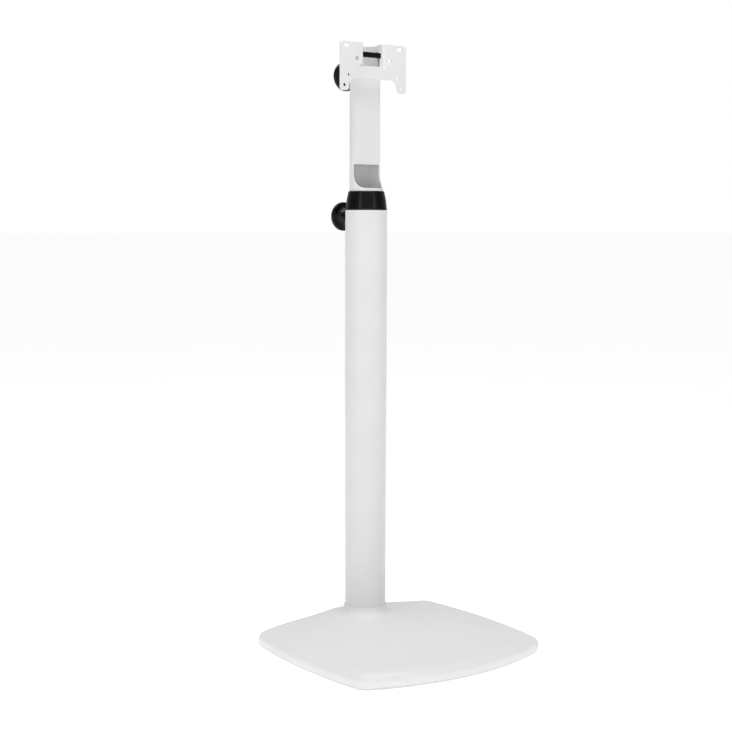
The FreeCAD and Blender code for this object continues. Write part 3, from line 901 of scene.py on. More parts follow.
@dataclass
class Base:
    """The domed cover, its rubber feet and the screws under it.

    Attributes:
        front_arc: Radius of the bowed front and rear edges.
        side_arc: Radius of the bowed sides.
        corner: Radius of the corners.
        wall: Thickness of the cover.
        rim_drop: Height of the rim's rounding.
        rim_width: Width of the rim's rounding.
        rim_height: Height of the rim's top.
        crown_height: Height of the dome where its flare starts.
        flare: Width of the flare round the column.
        lip: Edge of the cover left round the column.
        gap: Column to the inner edge of the lip.
        seam: Column to the bore of the inner skin.
        edge_round: Rounding of the lower edge.
        rim_steps: Angles at which the rim is cut into sections.
        dome_steps: Shares of the dome at which it is cut into sections.
        flare_steps: Angles at which the flare is cut into sections.
    """

    front_arc: float = 376 * MM
    side_arc: float = 761 * MM
    corner: float = 18.5 * MM
    wall: float = 3 * MM
    rim_drop: float = 11 * MM
    rim_width: float = 12 * MM
    rim_height: float = 20.5 * MM
    crown_height: float = 34 * MM
    flare: float = 18 * MM
    lip: float = 0.9 * MM
    gap: float = 0.3 * MM
    seam: float = 0.06 * MM
    edge_round: float = 0.9 * MM
    rim_steps: Array = field(default_factory=lambda: np.radians([0, 13, 26, 39, 52, 65, 78]))
    dome_steps: Array = field(default_factory=lambda: np.array([0.15, 0.4, 0.7, 1.0]))
    flare_steps: Array = field(default_factory=lambda: np.radians([25, 50, 72, 90]))

    def arcs(self) -> tuple[Array, Array, Array]:
        """The base's outline as eight arcs, sampled anticlockwise from the right side.

        The right side and the rear are arcs about points on the axes, and the corner's centre is
        where a circle about the first, its radius less the corner's, meets one about the second.

        Returns:
            For each sample its arc's centre, its arc's radius, and its direction from the centre.
        """
        width, depth = Extent.of("base_cover").size[:2]
        rear = np.array([0, depth / 2 - self.front_arc])
        right = np.array([width / 2 - self.side_arc, 0])
        span = right - rear
        length = np.linalg.norm(span)
        far, near = self.front_arc - self.corner, self.side_arc - self.corner
        along = (far ** 2 - near ** 2 + length ** 2) / (2 * length)
        step = span / length
        aside = np.array([step[1], -step[0]]) * math.sqrt(far ** 2 - along ** 2)
        middle = rear + step * along + aside
        rear_angle = math.atan2(middle[1] - rear[1], middle[0])
        side_angle = math.atan2(middle[1], middle[0] - right[0])
        mirror = middle * (-1, 1)
        runs = [(right, self.side_arc, -side_angle, side_angle, 20),
                (middle, self.corner, side_angle, rear_angle, 16),
                (rear, self.front_arc, rear_angle, math.pi - rear_angle, 28),
                (mirror, self.corner, math.pi - rear_angle, math.pi - side_angle, 16)]
        runs += [(-centre, radius, first + math.pi, last + math.pi, count)
                 for centre, radius, first, last, count in runs]
        centres = np.vstack([np.tile(centre, (count, 1)) for centre, _, _, _, count in runs])
        radii = np.concatenate([np.full(count, radius) for _, radius, _, _, count in runs])
        angles = np.concatenate([first + (last - first) * np.arange(count) / count
                                 for _, _, first, last, count in runs])
        return centres, radii, np.stack([np.cos(angles), np.sin(angles)], axis=1)

    def rings(self, inset: Array, blend: Array, hub: Array, height: Array) -> Array:
        """Closed sections of the cover.

        A section is the outline moved in by its inset, mixed by its blend with a circle of its
        hub radius round the column.

        Args:
            inset: How far each section lies inside the outline.
            blend: How much of each section is the circle.
            hub: The circle's radius in each section.
            height: The section's height.

        Returns:
            Sections by samples by three coordinates.
        """
        centres, radii, ways = self.arcs()
        inset, blend, hub, height = (np.asarray(row, float)[:, None]
                                     for row in (inset, blend, hub, height))
        size = (radii - inset) * (1 - blend) + hub * blend
        x = centres[:, 0] * (1 - blend) + size * ways[:, 0]
        y = centres[:, 1] * (1 - blend) + AXIS[1] * blend + size * ways[:, 1]
        return np.stack([x, y, height + 0 * x], axis=-1)

    def skin(self, wall: float) -> Array:
        """Sections from the cover's lower edge to the column, a wall inside its outer face.

        They go straight up the edge, round the rim by part of an ellipse, up the dome in a
        straight mix, and up the flare by a quarter of an ellipse.

        Args:
            wall: How far inside the outer face the sections lie.

        Returns:
            Sections by samples by three coordinates.
        """
        top = Extent.of("base_cover").high[2]
        column = Extent.of("column_tube").size[0] / 2
        foot, bore = column + self.gap + self.lip, column + self.seam
        rim, flare = self.rim_steps, self.flare_steps
        inset = self.rim_width * (1 - np.cos(rim)) + wall * np.cos(rim)
        height = self.rim_height - self.rim_drop + (self.rim_drop - wall) * np.sin(rim)
        crown = self.crown_height - wall
        dome_height = height[-1] + (crown - height[-1]) * self.dome_steps
        hub = foot + self.flare * (1 - np.sin(flare)) - wall * np.sin(flare)
        flare_height = (self.crown_height + (top - self.crown_height) * (1 - np.cos(flare))
                        - wall * np.cos(flare))
        later = np.full(len(self.dome_steps) + len(flare), inset[-1])
        blend = np.concatenate([0 * rim, self.dome_steps, np.ones(len(flare))])
        radius = np.concatenate([np.full(len(rim) + len(self.dome_steps), foot + self.flare),
                                 np.maximum(hub, bore)])
        heights = np.concatenate([height, dome_height, flare_height])
        return self.rings(np.concatenate([inset, later]), blend, radius, heights)

    def cover(self) -> bpy.types.Object:
        """The cover: its outer and inner skins smoothed between their sections and joined below.

        Returns:
            The piece, in the scene.
        """
        bottom = Extent.of("base_cover").low[2]
        turn = np.linspace(0, QUARTER, 4)
        rounded = self.rings(self.edge_round * (1 - np.sin(turn)), 0 * turn, 0 * turn,
                             bottom + self.edge_round * (1 - np.cos(turn)))
        inner_edge = self.rings([self.wall], [0], [0], [bottom])
        outside = smoothed(self.skin(0.0), 6)
        inside = smoothed(self.skin(self.wall), 3)[::-1]
        points = np.concatenate([rounded, outside, inside, inner_edge])
        return solid("domed_cover", Surface.grid(points, True, True))

    def feet(self) -> bpy.types.Object:
        """Four rubber discs with a chamfered edge and a ringed tread.

        Returns:
            The piece, in the scene.
        """
        places = corners_of("rubber_feet")
        box = Extent.of("rubber_feet")
        radius, height, chamfer, soft = 14 * MM, box.high[2], 0.8 * MM, 0.4 * MM
        breadth, slope, groove = 2 * MM, 0.4 * MM, 0.6 * MM
        tread = [Corner(start + across, depth) for start in (4 * MM, 8.5 * MM)
                 for across, depth in ((0, 0), (slope, groove), (breadth - slope, groove),
                                       (breadth, 0))]
        profile = outline([
            Corner(0, 0), *tread, Corner(radius - chamfer, 0, soft),
            Corner(radius, chamfer, soft), Corner(radius, height, 0.3 * MM), Corner(0, height)],
            closed=False)
        return solid("foot_discs", Surface.turned(profile, False, 48).at_each(places(radius)))

    def build(self) -> None:
        """Make the base's shown pieces and dress the rest."""
        for piece, node in ((self.cover(), "base_cover"), (self.feet(), "rubber_feet")):
            even_shading(piece)
            issue(piece, node)
        issue(self.cover_screws(), "cover_screws")
        issue(self.flange_screws(), "flange_screws")
        keep("base_plate", "ballast_plate", "column_flange")

    def cover_screws(self) -> bpy.types.Object:
        """Four pan-head screws with a cross recess, seen under the base plate.

        Returns:
            The piece, in the scene.
        """
        box = Extent.of("cover_screws")
        head, shank, rise, bow = 3.8 * MM, 2 * MM, 2.4 * MM, 0.55 * MM
        half_arm, arm, depth = 0.55 * MM, 2.1 * MM, 1.5 * MM
        seat, tip = rise - bow, box.size[2] - bow
        crown = recessed_disc(head, bow, cross_recess(half_arm, arm), depth)
        body = Surface.turned(outline([
            Corner(head, 0.0), Corner(head, seat, 0.2 * MM), Corner(shank, seat),
            Corner(shank, tip, 0.4 * MM), Corner(0, tip)], closed=False), False, 48)
        places = corners_of("cover_screws")(head) + (0, 0, box.low[2] + bow)
        return solid("cover_fixings", joined(crown, body).at_each(places))

    def flange_screws(self) -> bpy.types.Object:
        """Four countersunk screws with a hexagon recess, flush with the base plate.

        Returns:
            The piece, in the scene.
        """
        box = Extent.of("flange_screws")
        head, shank, land = 8 * MM, 4 * MM, 0.15 * MM
        half_across, depth = 2.5 * MM, 3 * MM
        crown = recessed_disc(head - land, 0.0, hexagon_recess(half_across), depth)
        body = Surface.turned(outline([
            Corner(head - land, 0.0), Corner(head, land), Corner(shank, head - shank),
            Corner(shank, box.size[2]), Corner(0, box.size[2])], closed=False), False, 48)
        places = corners_of("flange_screws")(head) + (0, 0, box.low[2])
        return solid("flange_fixings", joined(crown, body).at_each(places))


def smoothed(sections: Array, between: int) -> Array:
    """Pass a smooth surface through sections.

    Between two sections each point follows a cubic. Its slope at a section is that of the chords
    on both sides, the shorter one counting more, in the ratio of the lengths swapped.

    Args:
        sections: Sections by samples by three coordinates.
        between: Steps from one section to the next.

    Returns:
        The denser sections, the given ones among them.
    """
    step = np.diff(sections, axis=0)
    gap = np.maximum(np.linalg.norm(step, axis=2, keepdims=True), 1e-9)
    chord = step / gap
    inner = (chord[:-1] * gap[1:] + chord[1:] * gap[:-1]) / (gap[:-1] + gap[1:])
    slopes = np.concatenate([chord[:1], inner, chord[-1:]])
    share = (np.arange(between) / between)[None, :, None, None]
    start, end = sections[:-1, None], sections[1:, None]
    leave, arrive = (slopes[:-1] * gap)[:, None], (slopes[1:] * gap)[:, None]
    square, cube = share ** 2, share ** 3
    points = ((2 * cube - 3 * square + 1) * start + (cube - 2 * square + share) * leave
              + (3 * square - 2 * cube) * end + (cube - square) * arrive)
    return np.concatenate([points.reshape(-1, *sections.shape[1:]), sections[-1:]])


def corners_of(node: str) -> Callable[[float], Array]:
    """The four places of round parts that touch a node's box from inside, for a given radius.

    Args:
        node: The node's name.

    Returns:
        Gives the four places at height zero for a radius.
    """
    box = Extent.of(node)

    def places(radius: float) -> Array:
        """Centres of the parts, at height zero.

        Args:
            radius: The parts' radius.

        Returns:
            One row of three coordinates for each part.
        """
        reach = box.size[:2] / 2 - radius
        signs = np.array([(-1, -1), (-1, 1), (1, -1), (1, 1)])
        return np.column_stack([box.middle[:2] + signs * reach, np.zeros(4)])

    return places


def joined(first: Surface, second: Surface) -> Surface:
    """Two surfaces as one."""
    return Surface(np.vstack([first.points, second.points]),
                   np.vstack([first.faces, second.faces + len(first.points)]))


def cross_recess(half_width: float, reach: float) -> Callable[[Array, Array], Array]:
    """How deep a cross recess is at x and y, from 0 to 1: both arms fade out over their edges.

    Args:
        half_width: Half the width of an arm.
        reach: An arm's length from the middle.

    Returns:
        Gives the share at x and y.
    """
    def depth(x: Array, y: Array) -> Array:
        """Share of the full depth.

        Args:
            x: First coordinates.
            y: Second coordinates.

        Returns:
            The shares.
        """
        soft = 0.15 * MM
        across, along = np.minimum(abs(x), abs(y)), np.maximum(abs(x), abs(y))
        arm = np.clip((half_width + soft - across) / soft, 0, 1)
        return arm * np.clip((reach - along) / (0.6 * reach), 0, 1)
    return depth


def hexagon_recess(half_across: float) -> Callable[[Array, Array], Array]:
    """How deep a hexagon recess is at x and y, from 0 to 1: full inside its six flats.

    Args:
        half_across: Half the distance between two flats.

    Returns:
        Gives the share at x and y.
    """
    def depth(x: Array, y: Array) -> Array:
        """Share of the full depth.

        Args:
            x: First coordinates.
            y: Second coordinates.

        Returns:
            The shares.
        """
        soft = 0.12 * MM
        turn = np.arange(3) * math.pi / 3
        flat = np.abs(x[..., None] * np.cos(turn) + y[..., None] * np.sin(turn)).max(axis=-1)
        return np.clip((half_across + soft - flat) / soft, 0, 1)
    return depth


def recessed_disc(radius: float, crown: float, recess: Callable[[Array, Array], Array],
                  depth: float) -> Surface:
    """The face of a screw's head, looking down.

    The height is minus the crown times one less the squared share of the radius, plus the
    recess's share times its depth.

    Args:
        radius: The head's radius.
        crown: How far its middle stands out.
        recess: The recess's share at x and y.
        depth: The recess's depth.

    Returns:
        The face, its rim at height zero.
    """
    share = np.linspace(0, 1, 41)[:, None]
    turn = np.arange(48) * 2 * math.pi / 48
    x, y = radius * share * np.cos(turn), radius * share * np.sin(turn)
    z = -crown * (1 - share ** 2) + depth * recess(x, y)
    return Surface.grid(np.stack([x, y, z], axis=-1), False, True)


# ------------------------------------------------------------------ column and clamps

@dataclass
class Column:
    """The fixed tube and the black collar on its top.

    Attributes:
        wall: The tube's wall.
        rim: Rounding of the tube's cut ends.
        collar_bore: Radius of the collar's bore.
        skirt_gap: The collar's skirt to the tube.
        band: Height of the straight band at the collar's foot.
        bow: Radius of the collar's bowed side.
        top_wall: Collar's bore to its top edge.
        stud_hole: Radius of the hole for the clamp's stud.
    """

    wall: float = 2.5 * MM
    rim: float = 0.7 * MM
    collar_bore: float = 24.45 * MM
    skirt_gap: float = 0.03 * MM
    band: float = 2 * MM
    bow: float = 120 * MM
    top_wall: float = 1.45 * MM
    stud_hole: float = 4.6 * MM

    def tube(self) -> bpy.types.Object:
        """The column's tube, its ends rounded where they were cut.

        Returns:
            The piece, in the scene.
        """
        box = Extent.of("column_tube")
        outer, bottom, top = box.size[0] / 2, box.low[2], box.high[2]
        inner = outer - self.wall
        profile = outline([
            Corner(outer, bottom, self.rim), Corner(outer, top, self.rim),
            Corner(inner, top, self.rim), Corner(inner, bottom, self.rim)])
        return solid("column_pipe", Surface.turned(profile, True, 128).moved(AXIS))

    def collar(self) -> bpy.types.Object:
        """The collar: a skirt in the tube, a straight band, a bowed side and a rounded top.

        Returns:
            The piece, in the scene.
        """
        box, tube = Extent.of("collar"), Extent.of("column_tube")
        seat, top = tube.high[2], box.high[2]
        skirt = tube.size[0] / 2 - self.wall - self.skirt_gap
        foot, crown = box.size[0] / 2, self.collar_bore + self.top_wall
        soft, edge, step, brow, lead = 0.5 * MM, 0.4 * MM, 0.25 * MM, 1 * MM, 0.3 * MM
        shoulder = seat + self.band
        profile = outline([
            Corner(self.collar_bore, box.low[2], soft), Corner(skirt, box.low[2], soft),
            Corner(skirt, seat), Corner(foot, seat, edge), Corner(foot, shoulder, edge),
            Corner(foot - step, shoulder + step),
            Corner(crown, top - brow, 0, self.bow), Corner(crown - brow, top, 0, brow),
            Corner(self.collar_bore + lead, top), Corner(self.collar_bore, top - soft)])
        return solid("collar_moulding", Surface.turned(profile, True, 128).moved(AXIS))

    def build(self) -> None:
        """Make the tube and the collar."""
        for piece, node in ((self.tube(), "column_tube"), (self.collar(), "collar")):
            drill(piece, Extent.of("height_stud").middle[2], self.stud_hole)
            even_shading(piece)
            issue(piece, node)


@dataclass
class Clamp:
    """A mushroom knob on its stud, with the boss that it screws into.

    Attributes:
        name: Start of the node names, height or head.
        tube: The tube that carries the clamp.
        stud: The stud's radius.
        stem: The knob's stem radius.
        stem_length: Length of the stem.
        cove: Radius of the cove under the rim.
        rim: Rounding of the rim.
        rim_height: Knob's near end to the rim's start.
        rim_flat: Straight part of the rim.
        dome: Radius of the domed top.
        crown: Radius of the flat disc in the dome's middle.
        bead: Radius of the weld bead round the boss.
    """

    name: str
    tube: str
    stud: float = 4 * MM
    stem: float = 8.5 * MM
    stem_length: float = 5 * MM
    cove: float = 11 * MM
    rim: float = 2 * MM
    rim_height: float = 15 * MM
    rim_flat: float = 2.5 * MM
    dome: float = 24 * MM
    crown: float = 4 * MM
    bead: float = 1.1 * MM

    def knob(self) -> bpy.types.Object:
        """The knob, turned about its stud: stem, cove, rim, dome and a set-in disc.

        Returns:
            The piece, in the scene.
        """
        box = Extent.of(f"{self.name}_knob")
        radius, height = box.size[0] / 2, box.size[1]
        rim_top = self.rim_height + self.rim + self.rim_flat
        blind, groove, dip = 14 * MM, 0.35 * MM, 0.05 * MM
        profile = outline([
            Corner(0, blind), Corner(self.stud, blind), Corner(self.stud, 0),
            Corner(self.stem, 0, 0.6 * MM), Corner(self.stem, self.stem_length),
            Corner(radius - self.rim, self.rim_height, 0, -self.cove),
            Corner(radius, self.rim_height + self.rim, 0, self.rim),
            Corner(radius, rim_top),
            Corner(self.crown + groove, height - dip, 0, self.dome),
            Corner(self.crown + groove, height - groove), Corner(self.crown, height - groove),
            Corner(self.crown, height, 0.15 * MM), Corner(0, height)], closed=False)
        surface = Surface.turned(profile, False, 96).laid_back()
        place = (box.middle[0], box.low[1], box.middle[2])
        return solid(f"{self.name}_grip", surface.moved(place))

    def boss(self) -> bpy.types.Object:
        """The threaded boss and the weld bead that runs round its foot on the tube.

        The bead's middle is the line where a cylinder about the boss meets the tube: across by
        its radius times the cosine of the turn, up by the sine, and back by the square root of
        the tube's radius squared less the crossing squared.

        Returns:
            The piece, in the scene.
        """
        box = Extent.of(f"{self.name}_boss")
        tube_radius = Extent.of(self.tube).size[0] / 2
        clearance, bite, spread = 0.05 * MM, 1.9 * MM, 0.2 * MM
        swell, beats, segments, sides = 0.08, 24, 64, 12
        radius, bore = box.size[0] / 2, self.stud + clearance
        start = AXIS[1] + tube_radius - bite
        length = box.high[1] - start
        profile = outline([Corner(bore, 0), Corner(radius, 0), Corner(radius, length, 0.6 * MM),
                           Corner(bore, length, 0.4 * MM)])
        body = Surface.turned(profile, True, segments).laid_back()
        body = body.moved((box.middle[0], start, box.middle[2]))
        turn = np.arange(segments) * 2 * math.pi / segments
        ripple = 1 + swell * np.cos(beats * turn)
        way = radius + spread
        across, up = way * np.cos(turn), way * np.sin(turn)
        line = np.stack([across, np.sqrt(tube_radius ** 2 - across ** 2), up], axis=-1)
        outward = np.stack([np.cos(turn), 0 * turn, np.sin(turn)], axis=-1)
        lift = np.array([0.0, 1.0, 0.0])
        round_it = (np.arange(sides) * 2 * math.pi / sides)[:, None, None]
        size = (self.bead * ripple)[None, :, None]
        ring = line + size * (np.cos(round_it) * outward + np.sin(round_it) * lift)
        bead = Surface.grid(ring, True, True).moved((box.middle[0], AXIS[1], box.middle[2]))
        return solid(f"{self.name}_boss_welded", body, bead)

    def build(self) -> None:
        """Make the knob and the boss, and dress the stud and the pad."""
        for piece, part in ((self.knob(), "knob"), (self.boss(), "boss")):
            even_shading(piece)
            issue(piece, f"{self.name}_{part}")
        keep(f"{self.name}_stud", f"{self.name}_pad")


# ------------------------------------------------------------------ neck

@dataclass
class Neck:
    """The sliding tube with its cut-away front, its front plate and the ring on its end.

    Attributes:
        wall: The tube's wall.
        mouth: Height of the lower cable mouth, up to the front plate's foot.
        sweep: Radius of the mouth's rounded cut.
        stud_hole: Radius of the hole for the clamp's stud.
        softness: Rounding of the tube's cut edges.
        plate_softness: Rounding of the front plate's edges.
        lip_softness: Rounding of the ring's edges.
        facet: Angle between the tube's rolling lines.
        storey: Distance between its level lines.
        bush_bore: Radius of the ring's bore.
        bush_front: How far the ring's flat front stands before the axis.
        bush_corner: Radius of the ring's two front corners.
        bush_gap: Bore's flat to the axis.
    """

    wall: float = 2 * MM
    mouth: float = 34 * MM
    sweep: float = 22 * MM
    stud_hole: float = 4.6 * MM
    softness: float = 0.45 * MM
    plate_softness: float = 0.4 * MM
    lip_softness: float = 0.9 * MM
    facet: float = math.radians(5)
    storey: float = 40 * MM
    bush_bore: float = 21.05 * MM
    bush_front: float = 3.4 * MM
    bush_corner: float = 4 * MM
    bush_gap: float = 0.3 * MM

    def tube(self) -> bpy.types.Object:
        """The tube, cut flat and rolled: a point goes round by its width over the radius.

        Its flat edge above the mouth is the cut's quarter circle, where the rear distance is the
        sweep times one less the sine, and the width is the radius times the angle whose cosine
        is that distance over the radius.

        Returns:
            The piece, in the scene.
        """
        box = Extent.of("neck_tube")
        radius = box.size[0] / 2
        mouth = Extent.of("neck_front_plate").low[2] - self.mouth
        turn = np.linspace(0, QUARTER, 17)
        forward = np.clip((self.sweep - self.sweep * np.sin(turn)) / radius, 0, 1)
        width = radius * (math.pi - np.arccos(forward))
        height = mouth + self.sweep * (1 - np.cos(turn))
        front = radius * math.pi
        right = np.vstack([[front, box.low[2]], [front, mouth], np.column_stack([width, height]),
                           [radius * QUARTER, box.high[2]]])
        edge = np.vstack([right, right[::-1] * (-1, 1)])
        lines = np.arange(-math.pi + self.facet, math.pi - self.facet / 2, self.facet) * radius
        creases = [np.array([[x, box.low[2]], [x, box.high[2]]]) for x in lines]
        levels = np.arange(box.low[2] + self.storey, box.high[2], self.storey)
        creases += [np.array([[-front, z], [front, z]]) for z in levels]
        hole = circle(0, Extent.of("head_knob").middle[2], self.stud_hole)

        def roll(flat: Array) -> Array:
            """Roll the flat sheet about the column's axis, its middle at the rear."""
            turn = -flat[:, 0] / radius
            across, deep = radius * np.sin(turn), radius * np.cos(turn)
            return np.column_stack([across, deep, flat[:, 1]]) + AXIS

        return Sheet("neck_pipe", edge, roll, self.wall, self.softness, [hole], creases).build()

    def front_plate(self) -> bpy.types.Object:
        """The flat plate that closes the tube's front.

        Returns:
            The piece, in the scene.
        """
        box = Extent.of("neck_front_plate")
        left, right, foot, top = box.low[0], box.high[0], box.low[2], box.high[2]
        edge = np.array([(left, foot), (right, foot), (right, top), (left, top)])
        fold = facing(box.low[1])
        return Sheet("neck_facing", edge, fold, box.size[1], self.plate_softness).build()

    def ring(self) -> bpy.types.Object:
        """The D-shaped ring on the tube's end: a lip with a flat front.

        Returns:
            The piece, in the scene.
        """
        box, tube = Extent.of("neck_bush"), Extent.of("neck_tube")
        radius = box.size[0] / 2
        reach = math.sqrt(radius ** 2 - self.bush_front ** 2)
        corner, front = self.bush_corner, -self.bush_front
        edge = outline([
            Corner(reach - corner, front), Corner(reach, front + corner, 0, corner),
            Corner(0, radius, 0, radius), Corner(-reach, front + corner, 0, radius),
            Corner(-reach + corner, front, 0, corner)])
        bore = outline([
            Corner(self.bush_bore, self.bush_gap), Corner(0, self.bush_bore, 0, self.bush_bore),
            Corner(-self.bush_bore, self.bush_gap, 0, self.bush_bore)])
        level = box.high[2]

        def lay(flat: Array) -> Array:
            """Lay the flat ring level at its top face."""
            return np.column_stack([flat, np.full(len(flat), level)]) + AXIS

        lip = level - tube.high[2]
        return Sheet("neck_ring", edge, lay, lip, self.lip_softness, [bore]).build()

    def build(self) -> None:
        """Make the neck's shown pieces and dress the guide ring inside the column."""
        issue(self.tube(), "neck_tube")
        issue(self.front_plate(), "neck_front_plate")
        issue(self.ring(), "neck_bush")
        keep("neck_glide", "glide_rivets")


def facing(depth: float) -> Callable[[Array], Array]:
    """A fold that stands a flat sheet upright with its shown face towards -Y at a depth.

    Args:
        depth: Place along Y.

    Returns:
        The fold.
    """
    def stand(flat: Array) -> Array:
        """Width and height become X and Z."""
        return np.stack([flat[:, 0], np.full(len(flat), depth), flat[:, 1]], axis=1)
    return stand


# ------------------------------------------------------------------ head

@dataclass
class Head:
    """The display plate, bent from one sheet, and the channel that holds it in the neck.

    Attributes:
        sheet: Thickness of the plate.
        bend: Outer radius of its bends.
        channel_wall: Thickness of the channel.
        window_depth: Depth of the window from the plate's top.
        corner: Radius of the top corners.
        lobe: Half the width of the lower lobes.
        lobe_round: Radius of their corners.
        lobe_neck: Holes to the start of their slope.
        lobe_slope: Width of the slope.
        bar: Height of the bar under the window.
        relief_height: Height of the notches where the window's tabs bend.
        relief_width: Their reach outside the window.
        relief_return: Their reach inside it.
        arm_height: Height of the arms at the top.
        arm_length: Their straight length.
        lip_length: Straight length of the lips below the arms.
        split: Gap between the channel and the plate's arms.
        softness: Rounding of cut edges.
        slot_place: The slots' distance from the middle, and their depth below the top.
        slot_size: The slots' length and the radius of their ends.
        round_holes: Each round hole's distance from the middle, depth below the top, and radius.
    """

    sheet: float = 2 * MM
    bend: float = 4.5 * MM
    channel_wall: float = 2 * MM
    window_depth: float = 32 * MM
    corner: float = 4 * MM
    lobe: float = 7.5 * MM
    lobe_round: float = 4.5 * MM
    lobe_neck: float = 2 * MM
    lobe_slope: float = 8 * MM
    bar: float = 18 * MM
    relief_height: float = 2.7 * MM
    relief_width: float = 3.5 * MM
    relief_return: float = 2.2 * MM
    arm_height: float = 9.5 * MM
    arm_length: float = 11 * MM
    lip_length: float = 1 * MM
    split: float = 0.6 * MM
    softness: float = 0.4 * MM
    slot_place: tuple[float, float] = (46 * MM, 5.5 * MM)
    slot_size: tuple[float, float] = (10 * MM, 2.4 * MM)
    round_holes: tuple[tuple[float, float, float], ...] = (
        (28.5 * MM, 22.5 * MM, 3.2 * MM), (42.5 * MM, 45.5 * MM, 2.4 * MM),
        (50 * MM, 60 * MM, 2.4 * MM))

    def half_edge(self, box: Extent, window: float) -> list[Corner]:
        """Right half of the flat plate's outline, from the window's floor to the bar's foot.

        The arm and the lip are tabs that reach into the window by a quarter of the bend's
        circumference and their straight ends.

        Args:
            box: The plate's box.
            window: Half the window's width, where the tabs start to bend.

        Returns:
            The corners.
        """
        top, half = box.high[2], box.high[0]
        floor = top - self.window_depth
        relief_top = floor + self.relief_height / 2
        relief_foot = relief_top - self.relief_height
        bent = QUARTER * self.bend
        lip, arm = window - bent - self.lip_length, window - bent - self.arm_length
        notch_in, notch_out = window - self.relief_return, window + self.relief_width
        foot, arm_foot = box.low[2], top - self.arm_height
        lobe_side, lobe_top = half - 2 * self.lobe, foot + self.lobe + self.lobe_neck
        soft, knee = 0.8 * MM, 1.5 * MM
        return [
            Corner(notch_in, floor), Corner(notch_in, relief_foot, soft),
            Corner(notch_out, relief_foot, soft), Corner(notch_out, relief_top, soft),
            Corner(window, relief_top), Corner(lip, relief_top), Corner(lip, arm_foot),
            Corner(arm, arm_foot, soft), Corner(arm, top, soft), Corner(half, top, self.corner),
            Corner(half, foot, self.lobe_round), Corner(lobe_side, foot, self.lobe_round),
            Corner(lobe_side, lobe_top),
            Corner(lobe_side - self.lobe_slope, floor - self.bar, knee)]

    def plate(self) -> bpy.types.Object:
        """The plate: cut flat, then folded back along both edges of its window.

        A point of a tab goes round the bend by its distance from the window's edge over the
        bend's radius, up to a quarter turn, and straight back past that.

        Returns:
            The piece, in the scene.
        """
        box, channel = Extent.of("display_plate"), Extent.of("head_spigot")
        window = channel.high[0] - self.channel_wall - self.sheet + self.bend
        front, top = box.low[1], box.high[2]
        relief_top = top - self.window_depth + self.relief_height / 2
        right = self.half_edge(box, window)
        half = outline([Corner(0, top - self.window_depth), *right, Corner(0, right[-1].y)])
        half = half[half[:, 0] > HAIR]
        edge = np.vstack([half, half[::-1] * (-1, 1)])[::-1]
        holes = []
        for side in (-1, 1):
            x, drop = self.slot_place
            holes.append(slot(side * x, top - drop, *self.slot_size))
            holes += [circle(side * x, top - drop, radius) for x, drop, radius in self.round_holes]
        steps = window - np.linspace(0, QUARTER * self.bend, 9)
        creases = [np.array([[side * x, relief_top], [side * x, top]])
                   for side in (-1, 1) for x in steps]

        def bend(flat: Array) -> Array:
            """Fold the tabs back and leave the rest upright.

            Args:
                flat: Flat points.

            Returns:
                Points in the frame.
            """
            x, z = flat.T
            past = np.where(z > relief_top - HAIR, np.clip(window - np.abs(x), 0, None), 0.0)
            angle = np.minimum(past / self.bend, QUARTER)
            straight = past - angle * self.bend
            across = np.where(past > 0, np.sign(x) * (window - self.bend * np.sin(angle)), x)
            deep = front + self.bend * (1 - np.cos(angle)) + straight
            return np.stack([across, deep, z], axis=1)

        return Sheet("bracket_sheet", edge, bend, self.sheet, self.softness, holes, creases).build()

    def channel(self) -> bpy.types.Object:
        """The half-round channel with two ears, cut flat and rolled with its hollow forwards.

        A point within the roll goes round by its width over the inner radius, and one past its
        end goes straight forwards.

        Returns:
            The piece, in the scene.
        """
        box = Extent.of("head_spigot")
        inner, soft, pitch = box.high[0] - self.channel_wall, 1 * MM, 2 * MM
        roll_end = inner * QUARTER
        side = roll_end - self.split
        ear = roll_end + AXIS[1] - box.low[1]
        foot = Extent.of("display_plate").high[2] - self.arm_height
        right = [Corner(side, box.low[2], soft), Corner(side, foot),
                 Corner(ear, foot, soft), Corner(ear, box.high[2], soft)]
        left = [Corner(-corner.x, corner.y, corner.round) for corner in reversed(right)]
        lines = np.arange(-roll_end + 2.5 * MM, roll_end - pitch / 2, pitch)
        creases = [np.array([[x, box.low[2]], [x, box.high[2]]]) for x in lines]
        creases += [np.array([[x, foot], [x, box.high[2]]]) for x in (-roll_end, roll_end)]

        def roll(flat: Array) -> Array:
            """Roll the sheet, its middle at the rear.

            Args:
                flat: Flat points.

            Returns:
                Points in the frame.
            """
            width, z = flat.T
            angle = np.clip(width / inner, -QUARTER, QUARTER)
            past = np.abs(width) - np.abs(angle) * inner
            across, deep = inner * np.sin(angle), inner * np.cos(angle) - past
            return np.stack([across, deep, z], axis=1) + AXIS

        edge = outline([*right, *left])[::-1]
        return Sheet("bracket_channel", edge, roll, self.channel_wall, self.softness, (),
                     creases).build()

    def build(self) -> None:
        """Make the plate and the channel."""
        issue(self.plate(), "display_plate")
        issue(self.channel(), "head_spigot")


# ------------------------------------------------------------------ studio

